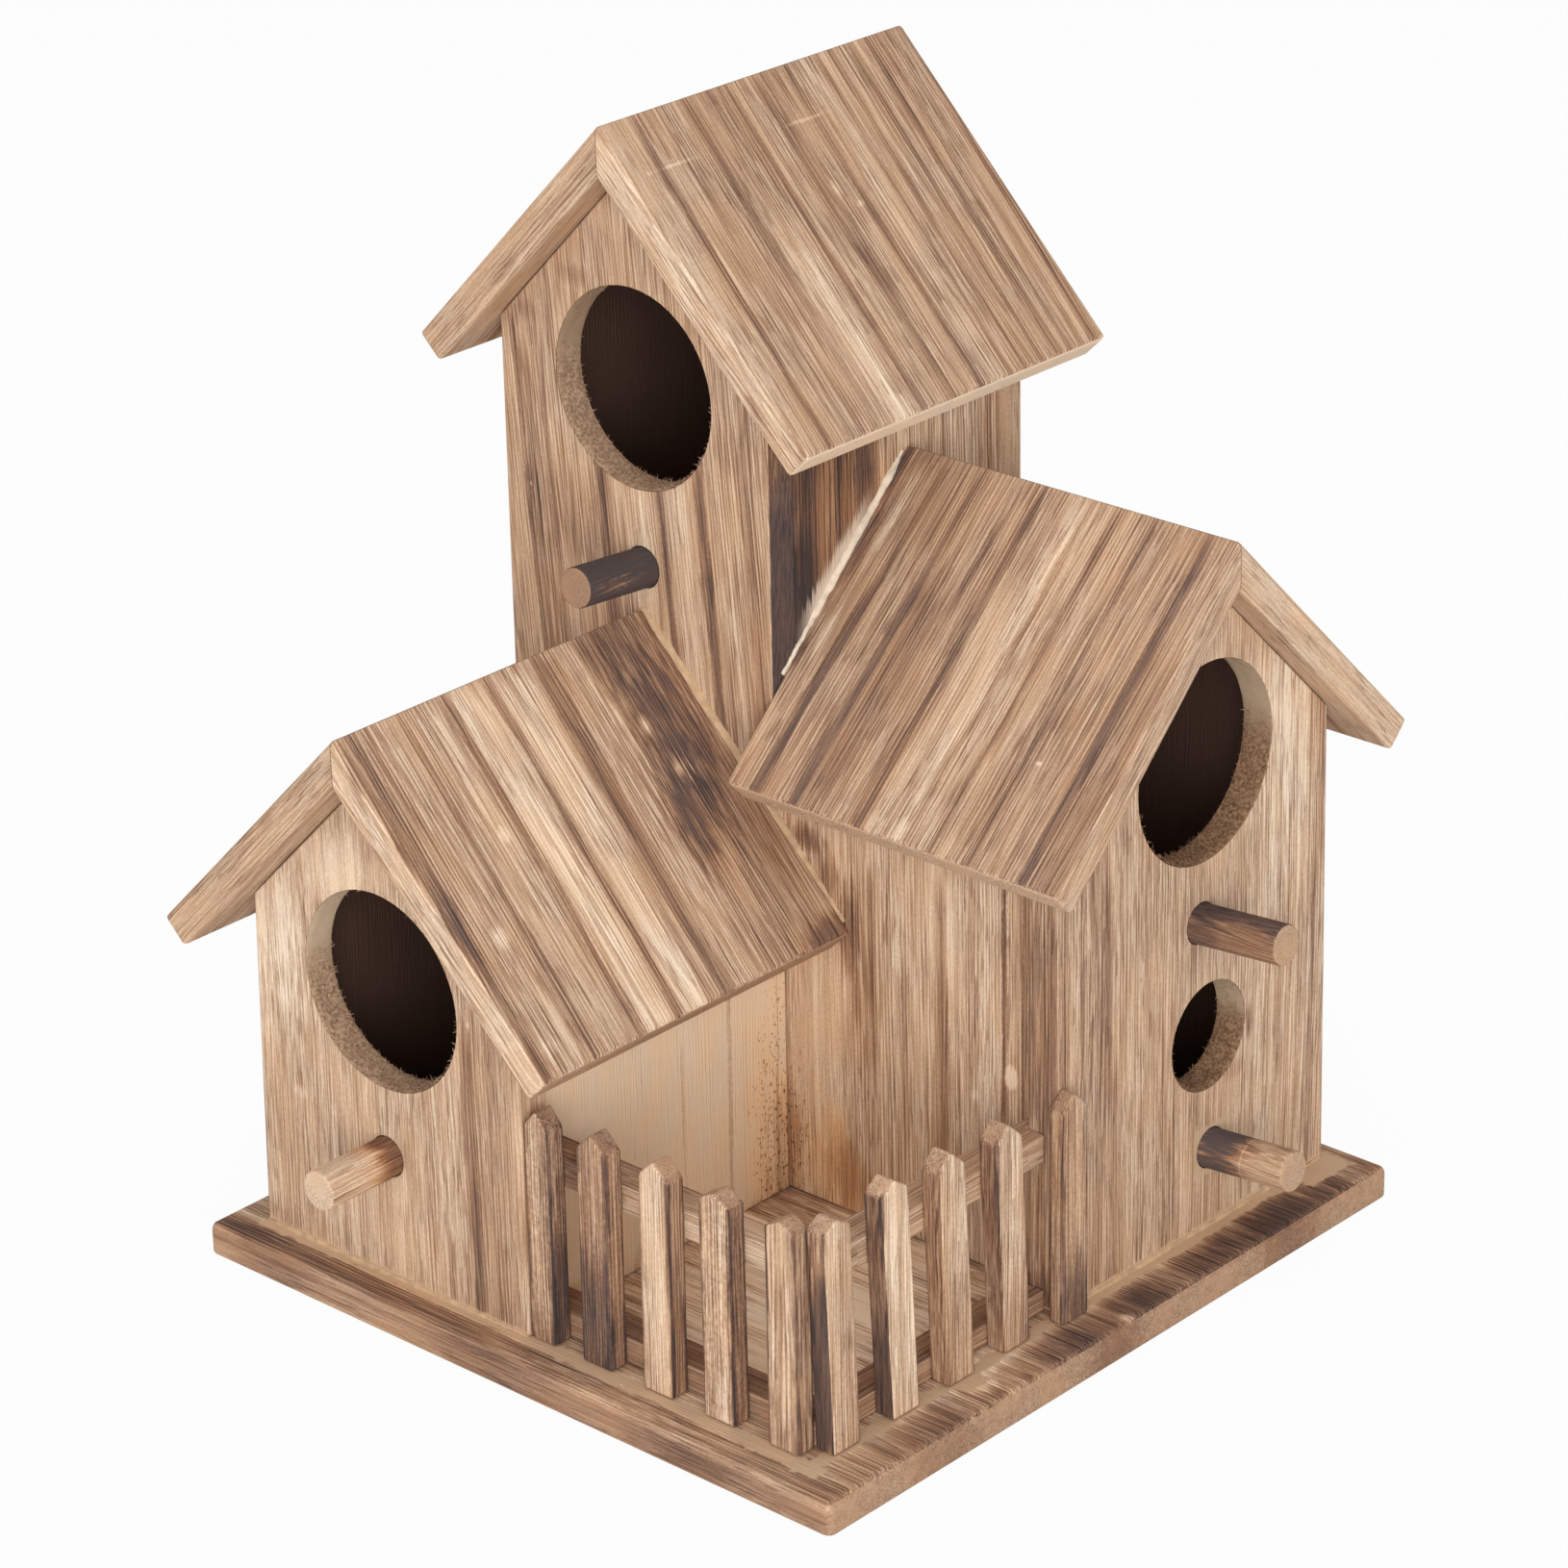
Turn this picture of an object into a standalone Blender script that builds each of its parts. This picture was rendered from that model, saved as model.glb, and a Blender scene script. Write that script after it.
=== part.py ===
"""Parakeet nest box: three gabled wooden houses round a fenced courtyard, on one base board.

The origin is the centre of the base board's underside. +Z is up. -Y is the side that the
front house and the tower face, +X is the side that the rear house faces, and the fenced
courtyard lies in the corner between them. All sizes are in metres.
"""
from math import cos, radians, sin, tan

import bmesh
import bpy
from mathutils import Vector

# Boards, dowels and joints
WALL_BOARD = 0.0084         # thickness of every upright board
ROOF_BOARD = 0.0085         # thickness of every roof panel
GLUE_GAP = 0.0003           # clearance between pieces that are glued face to face
WALL_ARRIS = 0.0005         # rounding of the upright boards' edges
ROOF_ARRIS = 0.0010         # rounding of the roof panels' edges

# Base board
BASE_WIDTH = 0.2000         # along X
BASE_DEPTH = 0.2056         # along Y
BASE_BOARD = 0.0084         # thickness
BASE_CORNER = 0.0022        # radius of its four upright corners
BASE_TOP_ARRIS = 0.0021     # rounding along its top edges
BASE_LOW_ARRIS = 0.0008     # rounding along its bottom edges

# Tower, at the back left corner of the base
TOWER_WIDTH = 0.0853
TOWER_DEPTH = 0.0907
TOWER_LEFT_MARGIN = 0.0083  # base edge to the tower's left wall
TOWER_BACK_MARGIN = 0.0117  # base edge to the tower's back wall
TOWER_APEX = 0.2573         # height of the roof's underside at the ridge
TOWER_PITCH = radians(45.8)
TOWER_RIDGE_SHIFT = 0.0000  # ridge to the middle of the gable, along X
TOWER_LEFT_RUN = 0.0548     # level reach of the panel's underside, from the ridge
TOWER_RIGHT_RUN = 0.0574
TOWER_FRONT_EAVE = 0.0094   # how far the roof stands out over the gable
TOWER_BACK_EAVE = 0.0066

# Front house, between the tower and the front edge
FRONT_WIDTH = 0.0857
FRONT_REACH = 0.0049        # how far it stands out past the tower's right wall
FRONT_FOOT_SPREAD = 0.0022  # how much further left the gable board reaches at its foot
FRONT_FRONT_MARGIN = 0.0102  # base edge to the gable's face
FRONT_APEX = 0.1370
FRONT_PITCH = radians(45.4)
FRONT_RIDGE_SHIFT = -0.0030
FRONT_LEFT_RUN = 0.0552
FRONT_RIGHT_RUN = 0.0584
FRONT_EAVE = 0.0097
FRONT_OUTER_INSET = 0.0008  # gable board's edge to the outer side wall's face
FRONT_COURT_INSET = 0.0024  # gable board's edge to the courtyard side wall's face

# Rear house, between the tower and the right edge
REAR_WIDTH = 0.1000         # along Y
REAR_BACK_MARGIN = 0.0092
REAR_FOOT_SPREAD = 0.0022   # how much further back the gable board reaches at its foot
REAR_RIGHT_MARGIN = 0.0150  # base edge to the gable's face
REAR_APEX = 0.1742
REAR_PITCH = radians(44.7)
REAR_RIDGE_SHIFT = 0.0050
REAR_COURT_RUN = 0.0594
REAR_BACK_RUN = 0.0600
REAR_EAVE = 0.0081
REAR_BACK_INSET = 0.0012    # gable board's edge to the back side wall's face

# Entrance holes: each drop runs from the roof's underside at the ridge down to the centre,
# and each offset from the middle of the gable. The small hole hangs under the big one
ENTRANCE_RADIUS = 0.0250
FRONT_HOLE_DROP = 0.0536
FRONT_HOLE_OFFSET = -0.0014
TOWER_HOLE_DROP = 0.0534
TOWER_HOLE_OFFSET = 0.0003
REAR_HOLE_DROP = 0.0439
REAR_HOLE_OFFSET = 0.0037
SMALL_HOLE_RADIUS = 0.0140
SMALL_HOLE_DROP = 0.0710    # from the big hole's centre
SMALL_HOLE_OFFSET = 0.0062
HOLE_OVERSHOOT = 0.0030     # how far the hole cutters stand out past the board's faces

# Perches: dowels glued into blind holes. Each drop runs from its entrance hole's centre
PERCH_RADIUS = 0.0050
PERCH_SOCKET = 0.0060       # depth of the blind hole
PERCH_ARRIS = 0.0006
FRONT_PERCH_DROP = 0.0429
FRONT_PERCH_OFFSET = -0.0018
FRONT_PERCH_REACH = 0.0225
FRONT_PERCH_RISE = radians(0.0)
TOWER_PERCH_DROP = 0.0443
TOWER_PERCH_OFFSET = 0.0019
TOWER_PERCH_REACH = 0.0231
TOWER_PERCH_RISE = radians(4.5)
REAR_PERCH_DROP = 0.0403
REAR_PERCH_OFFSET = 0.0025
REAR_PERCH_REACH = 0.0250
REAR_PERCH_RISE = radians(4.5)
LOW_PERCH_DROP = 0.0301
LOW_PERCH_OFFSET = 0.0075
LOW_PERCH_REACH = 0.0248
LOW_PERCH_RISE = radians(4.5)

# Fence: pickets outside, rails on the courtyard side
PICKET_WIDTH = 0.0091
PICKET_DEPTH = 0.0055
PICKET_ARRIS = 0.0006
END_PICKET_DEPTH = 0.0044   # the one glued on the rear gable's face is thinner
HOUSE_PICKET_WIDTH = 0.0076  # the one beside the front house is narrower
FRONT_FENCE_MARGIN = 0.0106  # base edge to the pickets' outer faces, along Y
SIDE_FENCE_MARGIN = 0.0125   # the same, along X
CORNER_POST_GAP = 0.0004    # between the two pickets that meet at the corner
SIDE_FENCE_START = 0.0159   # base edge to the first side picket
END_PICKET_LAP = 0.0059     # how far the last picket covers the rear gable board
RAIL_DEPTH = 0.0088
RAIL_HEIGHT = 0.0071
LOW_FRONT_RAIL_HEIGHT = 0.0065
LOW_SIDE_RAIL_HEIGHT = 0.0055
RAIL_LIFT = 0.0393          # base board to the upper rails' undersides
RAIL_ARRIS = 0.0005
PICKET_SHOULDER = 0.0550    # usual height of a picket's shoulders above the base board
PICKET_RISE = 0.0043        # usual rise of the two slopes of its point
PICKET_LEAN = 0.0030        # how far the top of a leaning picket stands sideways
# Each hand-placed picket: sideways slip, shoulder, rise and lean, as shares of
# PICKET_WIDTH, PICKET_SHOULDER, PICKET_RISE and PICKET_LEAN
FRONT_PICKETS = (
    (0.00, 1.005, 1.00, 0.00),
    (-0.16, 1.004, 1.00, 0.07),
    (-0.11, 1.000, 1.00, 0.10),
    (-0.08, 1.004, 0.60, -0.13),
    (0.00, 1.004, 0.58, 0.00),
)
SIDE_PICKETS = (
    (0.00, 1.022, 0.63, -0.83),
    (0.08, 1.044, 0.74, -1.07),
    (0.07, 1.005, 1.00, -1.03),
    (0.11, 0.985, 1.00, -0.93),
    (0.00, 0.991, 1.00, -0.10),
)

ROUND_SIDES = 48            # sides of the entrance holes
DOWEL_SIDES = 32            # sides of the dowels and their sockets

# Places that several pieces share
BASE_TOP = BASE_BOARD
FLOOR = BASE_TOP + GLUE_GAP                     # where everything on the base starts
BASE_LEFT = -BASE_WIDTH / 2
BASE_RIGHT = BASE_WIDTH / 2
BASE_FRONT = -BASE_DEPTH / 2
BASE_BACK = BASE_DEPTH / 2
TOWER_LEFT = BASE_LEFT + TOWER_LEFT_MARGIN
TOWER_RIGHT = TOWER_LEFT + TOWER_WIDTH
TOWER_BACK = BASE_BACK - TOWER_BACK_MARGIN
TOWER_FACE = TOWER_BACK - TOWER_DEPTH           # also the rear house's courtyard face
FRONT_RIGHT = TOWER_RIGHT + FRONT_REACH
FRONT_LEFT = FRONT_RIGHT - FRONT_WIDTH
FRONT_FACE = BASE_FRONT + FRONT_FRONT_MARGIN
FRONT_COURT_FACE = FRONT_RIGHT - FRONT_COURT_INSET
REAR_FACE = BASE_RIGHT - REAR_RIGHT_MARGIN
REAR_BACK = BASE_BACK - REAR_BACK_MARGIN
REAR_COURT = REAR_BACK - REAR_WIDTH


def clear_scene():
    for old in list(bpy.data.objects):
        bpy.data.objects.remove(old, do_unlink=True)


def wood(name, colour, roughness):
    """A Principled material of one wood tone, with colours in linear light."""
    material = bpy.data.materials.new(name)
    material.use_nodes = True
    shader = material.node_tree.nodes["Principled BSDF"]
    shader.inputs["Base Color"].default_value = (*colour, 1.0)
    shader.inputs["Roughness"].default_value = roughness
    shader.inputs["Metallic"].default_value = 0.0
    return material


def add_object(name, bm, material):
    """Turns a bmesh into a named object with its normals pointing out."""
    bmesh.ops.recalc_face_normals(bm, faces=bm.faces)
    mesh = bpy.data.meshes.new(name)
    bm.to_mesh(mesh)
    bm.free()
    piece = bpy.data.objects.new(name, mesh)
    bpy.context.scene.collection.objects.link(piece)
    mesh.materials.append(material)
    return piece


def round_edges(piece, width, segments=2, keep_sharp=None):
    """Rounds a piece's edges, except those between two points that keep_sharp picks."""
    mesh = piece.data
    weights = mesh.attributes.new("bevel_weight_edge", "FLOAT", "EDGE")
    for edge in mesh.edges:
        ends = [mesh.vertices[i].co for i in edge.vertices]
        sharp = keep_sharp is not None and all(keep_sharp(point) for point in ends)
        weights.data[edge.index].value = 0.0 if sharp else 1.0
    bevel = piece.modifiers.new("rounded edges", "BEVEL")
    bevel.limit_method = "WEIGHT"
    bevel.width = width
    bevel.segments = segments


def extruded(name, outline, place, start, end, material):
    """A solid with the given outline, pushed from start to end along the ridge direction.

    place turns (across, along, height) into a world position, so that the same outline
    serves a house that faces -Y and one that faces +X.
    """
    bm = bmesh.new()
    near = [bm.verts.new(place(across, start, height)) for across, height in outline]
    far = [bm.verts.new(place(across, end, height)) for across, height in outline]
    bm.faces.new(near)
    bm.faces.new(reversed(far))
    for i in range(len(outline)):
        j = (i + 1) % len(outline)
        bm.faces.new((near[i], far[i], far[j], near[j]))
    return add_object(name, bm, material)


def faces_front(across, along, height):
    """Gables that face -Y: across is X, and the ridge runs along Y."""
    return Vector((across, along, height))


def faces_right(across, along, height):
    """Gables that face +X: across is Y, and the ridge runs along X."""
    return Vector((along, across, height))


def bore(piece, start, end, radius, sides):
    """Cuts a round hole from start to end out of a piece."""
    axis = end - start
    bm = bmesh.new()
    bmesh.ops.create_cone(bm, cap_ends=True, segments=sides, radius1=radius, radius2=radius,
                          depth=axis.length)
    cutter = add_object(piece.name + "_cutter", bm, piece.data.materials[0])
    cutter.rotation_mode = "QUATERNION"
    cutter.rotation_quaternion = axis.to_track_quat("Z", "Y")
    cutter.location = (start + end) / 2
    cutter.hide_render = True
    cutter.display_type = "WIRE"
    cut = piece.modifiers.new("hole", "BOOLEAN")
    cut.operation = "DIFFERENCE"
    cut.solver = "EXACT"
    cut.object = cutter


class House:
    """One gabled house: the roof's line, and where its walls stop under it."""

    def __init__(self, place, low_edge, high_edge, shift, apex, pitch, low_run, high_run):
        self.place = place
        self.low_edge = low_edge        # gable board's edges, across the ridge
        self.high_edge = high_edge
        self.middle = (low_edge + high_edge) / 2
        self.ridge = self.middle + shift
        self.apex = apex
        self.pitch = pitch
        self.low_run = low_run
        self.high_run = high_run

    def underside(self, across):
        """Height of the roof's underside."""
        return self.apex - abs(across - self.ridge) * tan(self.pitch)

    def wall_top(self, across):
        """Height where a wall stops, one glue gap under the roof."""
        return self.underside(across) - GLUE_GAP / cos(self.pitch)

    def gable(self, name, face, back, material, low_spread=0.0, high_spread=0.0):
        """The pentagonal board under the gable, with its holes still to be cut."""
        outline = [
            (self.low_edge - low_spread, FLOOR),
            (self.high_edge + high_spread, FLOOR),
            (self.high_edge, self.wall_top(self.high_edge)),
            (self.ridge, self.wall_top(self.ridge)),
            (self.low_edge, self.wall_top(self.low_edge)),
        ]
        board = extruded(name, outline, self.place, face, back, material)
        round_edges(board, WALL_ARRIS)
        return board

    def side_wall(self, name, face, inner, start, end, material):
        """An upright board along the ridge direction, its top bevelled to the roof."""
        outline = [
            (face, FLOOR),
            (inner, FLOOR),
            (inner, self.wall_top(inner)),
            (face, self.wall_top(face)),
        ]
        board = extruded(name, outline, self.place, start, end, material)
        round_edges(board, WALL_ARRIS)
        return board

    def panel(self, name, side, start, end, material):
        """One roof panel; side is -1 or 1. It meets the other in an upright mitre."""
        run = self.low_run if side < 0 else self.high_run
        mitre = GLUE_GAP / 2
        slope = tan(self.pitch)
        top = self.apex + ROOF_BOARD / cos(self.pitch)
        outline = [
            (self.ridge + side * mitre, self.apex - mitre * slope),
            (self.ridge + side * run, self.apex - run * slope),
            (self.ridge + side * (run + ROOF_BOARD * sin(self.pitch)),
             self.apex - run * slope + ROOF_BOARD * cos(self.pitch)),
            (self.ridge + side * mitre, top - mitre * slope),
        ]
        board = extruded(name, outline, self.place, start, end, material)
        ridge_place = self.place(self.ridge, 0.0, 0.0)
        across_axis = 0 if self.place is faces_front else 1

        def on_mitre(point):
            return abs(point[across_axis] - ridge_place[across_axis]) < 2 * GLUE_GAP

        round_edges(board, ROOF_ARRIS, keep_sharp=on_mitre)
        return board


def perch(name, board, foot, outward, reach, rise, material):
    """A dowel in its own blind hole; foot is where its axis meets the board's face."""
    direction = (outward * cos(rise) + Vector((0, 0, sin(rise)))).normalized()
    inner_end = foot - direction * (PERCH_SOCKET - GLUE_GAP)
    tip = foot + direction * reach
    bm = bmesh.new()
    bmesh.ops.create_cone(bm, cap_ends=True, segments=DOWEL_SIDES, radius1=PERCH_RADIUS,
                          radius2=PERCH_RADIUS, depth=(tip - inner_end).length)
    ends = [edge for edge in bm.edges if abs(edge.verts[0].co.z - edge.verts[1].co.z) < 1e-6]
    bmesh.ops.bevel(bm, geom=ends, offset=PERCH_ARRIS, segments=2, affect="EDGES", profile=0.5)
    dowel = add_object(name, bm, material)
    dowel.rotation_mode = "QUATERNION"
    dowel.rotation_quaternion = direction.to_track_quat("Z", "Y")
    dowel.location = (inner_end + tip) / 2
    dowel.data.shade_smooth()
    dowel.data.set_sharp_from_angle(angle=radians(40))
    mouth = foot + direction * PERCH_RADIUS
    bore(board, foot - direction * PERCH_SOCKET, mouth, PERCH_RADIUS + GLUE_GAP, DOWEL_SIDES)
    return dowel


def entrance(board, centre, outward, radius):
    """An entrance hole right through a gable board; centre lies on the board's face."""
    inside = centre - outward * (WALL_BOARD + HOLE_OVERSHOOT)
    bore(board, inside, centre + outward * HOLE_OVERSHOOT, radius, ROUND_SIDES)


def make_base(material):
    """The base board: a rectangle with rounded corners, then rounded top and bottom edges."""
    bm = bmesh.new()
    bmesh.ops.create_cube(bm, size=1.0)
    for vert in bm.verts:
        vert.co = Vector((vert.co.x * BASE_WIDTH, vert.co.y * BASE_DEPTH,
                          (vert.co.z + 0.5) * BASE_BOARD))
    middle = BASE_BOARD / 2
    upright = [e for e in bm.edges if abs(e.verts[0].co.z - e.verts[1].co.z) > middle]
    bmesh.ops.bevel(bm, geom=upright, offset=BASE_CORNER, segments=6, affect="EDGES",
                    profile=0.5)
    for radius, height in ((BASE_TOP_ARRIS, BASE_BOARD), (BASE_LOW_ARRIS, 0.0)):
        rim = [e for e in bm.edges if all(abs(v.co.z - height) < GLUE_GAP for v in e.verts)]
        bmesh.ops.bevel(bm, geom=rim, offset=radius, segments=4, affect="EDGES", profile=0.5)
    board = add_object("base_board", bm, material)
    board.data.shade_smooth()
    board.data.set_sharp_from_angle(angle=radians(40))
    return board


def make_tower(wall, roof, dowel):
    house = House(faces_front, TOWER_LEFT, TOWER_RIGHT, TOWER_RIDGE_SHIFT, TOWER_APEX,
                  TOWER_PITCH, TOWER_LEFT_RUN, TOWER_RIGHT_RUN)
    front = house.gable("tower_front_wall", TOWER_FACE, TOWER_FACE + WALL_BOARD, wall)
    house.gable("tower_back_wall", TOWER_BACK, TOWER_BACK - WALL_BOARD, wall)
    start = TOWER_FACE + WALL_BOARD + GLUE_GAP
    end = TOWER_BACK - WALL_BOARD - GLUE_GAP
    house.side_wall("tower_left_wall", TOWER_LEFT, TOWER_LEFT + WALL_BOARD, start, end, wall)
    house.side_wall("tower_right_wall", TOWER_RIGHT, TOWER_RIGHT - WALL_BOARD, start, end, wall)
    for name, side in (("tower_roof_left", -1), ("tower_roof_right", 1)):
        house.panel(name, side, TOWER_FACE - TOWER_FRONT_EAVE, TOWER_BACK + TOWER_BACK_EAVE,
                    roof)
    outward = Vector((0, -1, 0))
    hole = Vector((house.middle + TOWER_HOLE_OFFSET, TOWER_FACE, TOWER_APEX - TOWER_HOLE_DROP))
    entrance(front, hole, outward, ENTRANCE_RADIUS)
    foot = Vector((house.middle + TOWER_PERCH_OFFSET, TOWER_FACE, hole.z - TOWER_PERCH_DROP))
    perch("tower_perch", front, foot, outward, TOWER_PERCH_REACH, TOWER_PERCH_RISE, dowel)


def make_front_house(wall, roof, dowel):
    house = House(faces_front, FRONT_LEFT, FRONT_RIGHT, FRONT_RIDGE_SHIFT, FRONT_APEX,
                  FRONT_PITCH, FRONT_LEFT_RUN, FRONT_RIGHT_RUN)
    front = house.gable("front_house_gable", FRONT_FACE, FRONT_FACE + WALL_BOARD, wall,
                        low_spread=FRONT_FOOT_SPREAD)
    start = FRONT_FACE + WALL_BOARD + GLUE_GAP
    end = TOWER_FACE - GLUE_GAP
    outer = FRONT_LEFT + FRONT_OUTER_INSET
    house.side_wall("front_house_outer_wall", outer, outer + WALL_BOARD, start, end, wall)
    house.side_wall("front_house_court_wall", FRONT_COURT_FACE, FRONT_COURT_FACE - WALL_BOARD,
                    start, end, wall)
    for name, side in (("front_house_roof_left", -1), ("front_house_roof_right", 1)):
        house.panel(name, side, FRONT_FACE - FRONT_EAVE, end, roof)
    outward = Vector((0, -1, 0))
    hole = Vector((house.middle + FRONT_HOLE_OFFSET, FRONT_FACE, FRONT_APEX - FRONT_HOLE_DROP))
    entrance(front, hole, outward, ENTRANCE_RADIUS)
    foot = Vector((house.middle + FRONT_PERCH_OFFSET, FRONT_FACE, hole.z - FRONT_PERCH_DROP))
    perch("front_house_perch", front, foot, outward, FRONT_PERCH_REACH, FRONT_PERCH_RISE, dowel)


def make_rear_house(wall, roof, dowel):
    house = House(faces_right, REAR_COURT, REAR_BACK, REAR_RIDGE_SHIFT, REAR_APEX,
                  REAR_PITCH, REAR_COURT_RUN, REAR_BACK_RUN)
    gable = house.gable("rear_house_gable", REAR_FACE, REAR_FACE - WALL_BOARD, wall,
                        high_spread=REAR_FOOT_SPREAD)
    start = TOWER_RIGHT + GLUE_GAP
    end = REAR_FACE - WALL_BOARD - GLUE_GAP
    house.side_wall("rear_house_court_wall", TOWER_FACE, TOWER_FACE + WALL_BOARD, start, end,
                    wall)
    back = REAR_BACK - REAR_BACK_INSET
    house.side_wall("rear_house_back_wall", back, back - WALL_BOARD, start, end, wall)
    for name, side in (("rear_house_roof_court", -1), ("rear_house_roof_back", 1)):
        house.panel(name, side, start, REAR_FACE + REAR_EAVE, roof)
    outward = Vector((1, 0, 0))
    hole = Vector((REAR_FACE, house.middle + REAR_HOLE_OFFSET, REAR_APEX - REAR_HOLE_DROP))
    entrance(gable, hole, outward, ENTRANCE_RADIUS)
    small = Vector((REAR_FACE, house.middle + SMALL_HOLE_OFFSET, hole.z - SMALL_HOLE_DROP))
    entrance(gable, small, outward, SMALL_HOLE_RADIUS)
    foot = Vector((REAR_FACE, house.middle + REAR_PERCH_OFFSET, hole.z - REAR_PERCH_DROP))
    perch("rear_house_perch", gable, foot, outward, REAR_PERCH_REACH, REAR_PERCH_RISE, dowel)
    foot = Vector((REAR_FACE, house.middle + LOW_PERCH_OFFSET, small.z - LOW_PERCH_DROP))
    perch("rear_house_low_perch", gable, foot, outward, LOW_PERCH_REACH, LOW_PERCH_RISE, dowel)


def picket(name, place, start, width, outer, inner, shares, material):
    """An upright stick with a two-slope point, placed and shaped by its four shares."""
    slip, shoulder_share, rise_share, lean_share = shares
    middle = start + slip * PICKET_WIDTH
    shoulder = shoulder_share * PICKET_SHOULDER
    rise = rise_share * PICKET_RISE
    lean = lean_share * PICKET_LEAN
    height = FLOOR + shoulder
    tilt = lean / shoulder
    point = shoulder + rise
    outline = [
        (middle - width / 2, FLOOR),
        (middle + width / 2, FLOOR),
        (middle + width / 2 + lean, height),
        (middle + tilt * point, FLOOR + point),
        (middle - width / 2 + lean, height),
    ]
    stick = extruded(name, outline, place, outer, inner, material)
    round_edges(stick, PICKET_ARRIS)


def rail(name, outline, low, high, material):
    """A flat rail with the given plan outline, between two heights."""
    bm = bmesh.new()
    bottom = [bm.verts.new((x, y, low)) for x, y in outline]
    top = [bm.verts.new((x, y, high)) for x, y in outline]
    bm.faces.new(bottom)
    bm.faces.new(reversed(top))
    for i in range(len(outline)):
        j = (i + 1) % len(outline)
        bm.faces.new((bottom[i], bottom[j], top[j], top[i]))
    piece = add_object(name, bm, material)
    round_edges(piece, RAIL_ARRIS)


def make_fence(stick):
    """Two rows of five pickets that meet at the courtyard's outer corner."""
    front_outer = BASE_FRONT + FRONT_FENCE_MARGIN
    front_inner = front_outer + PICKET_DEPTH
    side_outer = BASE_RIGHT - SIDE_FENCE_MARGIN
    side_inner = side_outer - PICKET_DEPTH

    first = FRONT_RIGHT + GLUE_GAP + HOUSE_PICKET_WIDTH / 2
    last = side_inner - CORNER_POST_GAP - PICKET_WIDTH / 2
    step = (last - first) / (len(FRONT_PICKETS) - 1)
    for i, shares in enumerate(FRONT_PICKETS):
        width = HOUSE_PICKET_WIDTH if i == 0 else PICKET_WIDTH
        picket(f"front_picket_{i + 1}", faces_front, first + i * step, width,
               front_outer, front_inner, shares, stick)

    first = BASE_FRONT + SIDE_FENCE_START + PICKET_WIDTH / 2
    last = REAR_COURT + END_PICKET_LAP - PICKET_WIDTH / 2
    step = (last - first) / (len(SIDE_PICKETS) - 1)
    for i, shares in enumerate(SIDE_PICKETS):
        outer, inner = side_outer, side_inner
        if i == len(SIDE_PICKETS) - 1:
            inner = REAR_FACE + GLUE_GAP
            outer = inner + END_PICKET_DEPTH
        picket(f"side_picket_{i + 1}", faces_right, first + i * step, PICKET_WIDTH,
               outer, inner, shares, stick)

    # Each rail is notched round the gable board that it runs into
    front_face = front_inner + GLUE_GAP
    front_back = front_face + RAIL_DEPTH
    side_face = side_inner - GLUE_GAP
    side_back = side_face - RAIL_DEPTH
    notch_y = FRONT_FACE + WALL_BOARD + GLUE_GAP
    front_outline = [
        (FRONT_RIGHT + GLUE_GAP, front_face),
        (side_face, front_face),
        (side_face, front_back),
        (FRONT_COURT_FACE + GLUE_GAP, front_back),
        (FRONT_COURT_FACE + GLUE_GAP, notch_y),
        (FRONT_RIGHT + GLUE_GAP, notch_y),
    ]
    notch_x = REAR_FACE - WALL_BOARD - GLUE_GAP
    side_outline = [
        (side_face, front_back + GLUE_GAP),
        (side_face, REAR_COURT - GLUE_GAP),
        (notch_x, REAR_COURT - GLUE_GAP),
        (notch_x, TOWER_FACE - GLUE_GAP),
        (side_back, TOWER_FACE - GLUE_GAP),
        (side_back, front_back + GLUE_GAP),
    ]
    upper = BASE_TOP + RAIL_LIFT
    for row, outline, low_height in (("front", front_outline, LOW_FRONT_RAIL_HEIGHT),
                                     ("side", side_outline, LOW_SIDE_RAIL_HEIGHT)):
        rail(f"{row}_lower_rail", outline, FLOOR, FLOOR + low_height, stick)
        rail(f"{row}_upper_rail", outline, upper, upper + RAIL_HEIGHT, stick)


def main():
    clear_scene()
    make_base(wood("base_wood", (0.50, 0.33, 0.20), 0.75))
    wall = wood("wall_wood", (0.56, 0.38, 0.24), 0.75)
    roof = wood("roof_wood", (0.42, 0.26, 0.16), 0.70)
    dowel = wood("dowel_wood", (0.60, 0.42, 0.26), 0.70)
    stick = wood("fence_wood", (0.52, 0.36, 0.23), 0.75)
    make_tower(wall, roof, dowel)
    make_front_house(wall, roof, dowel)
    make_rear_house(wall, roof, dowel)
    make_fence(stick)


main()
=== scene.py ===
# %% [markdown]
# # A scorched wooden nest box for parakeets
# Three gabled houses stand round a small fenced courtyard on one base board. The real box is
# cut from pale paulownia boards, passed over with a torch and brushed, so the grain stands out
# in brown and black. The boards, dowels and pickets come from the solid model. This script
# gives each one its own grain and scorch. It adds the torn wood in the bored entrances and
# the glue at the joints, and sets up the studio.

# %% Load the frame
from functools import partialmethod
from math import cos, radians, sin, tau

import bmesh
import bpy
from mathutils import Matrix, Vector, noise


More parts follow.
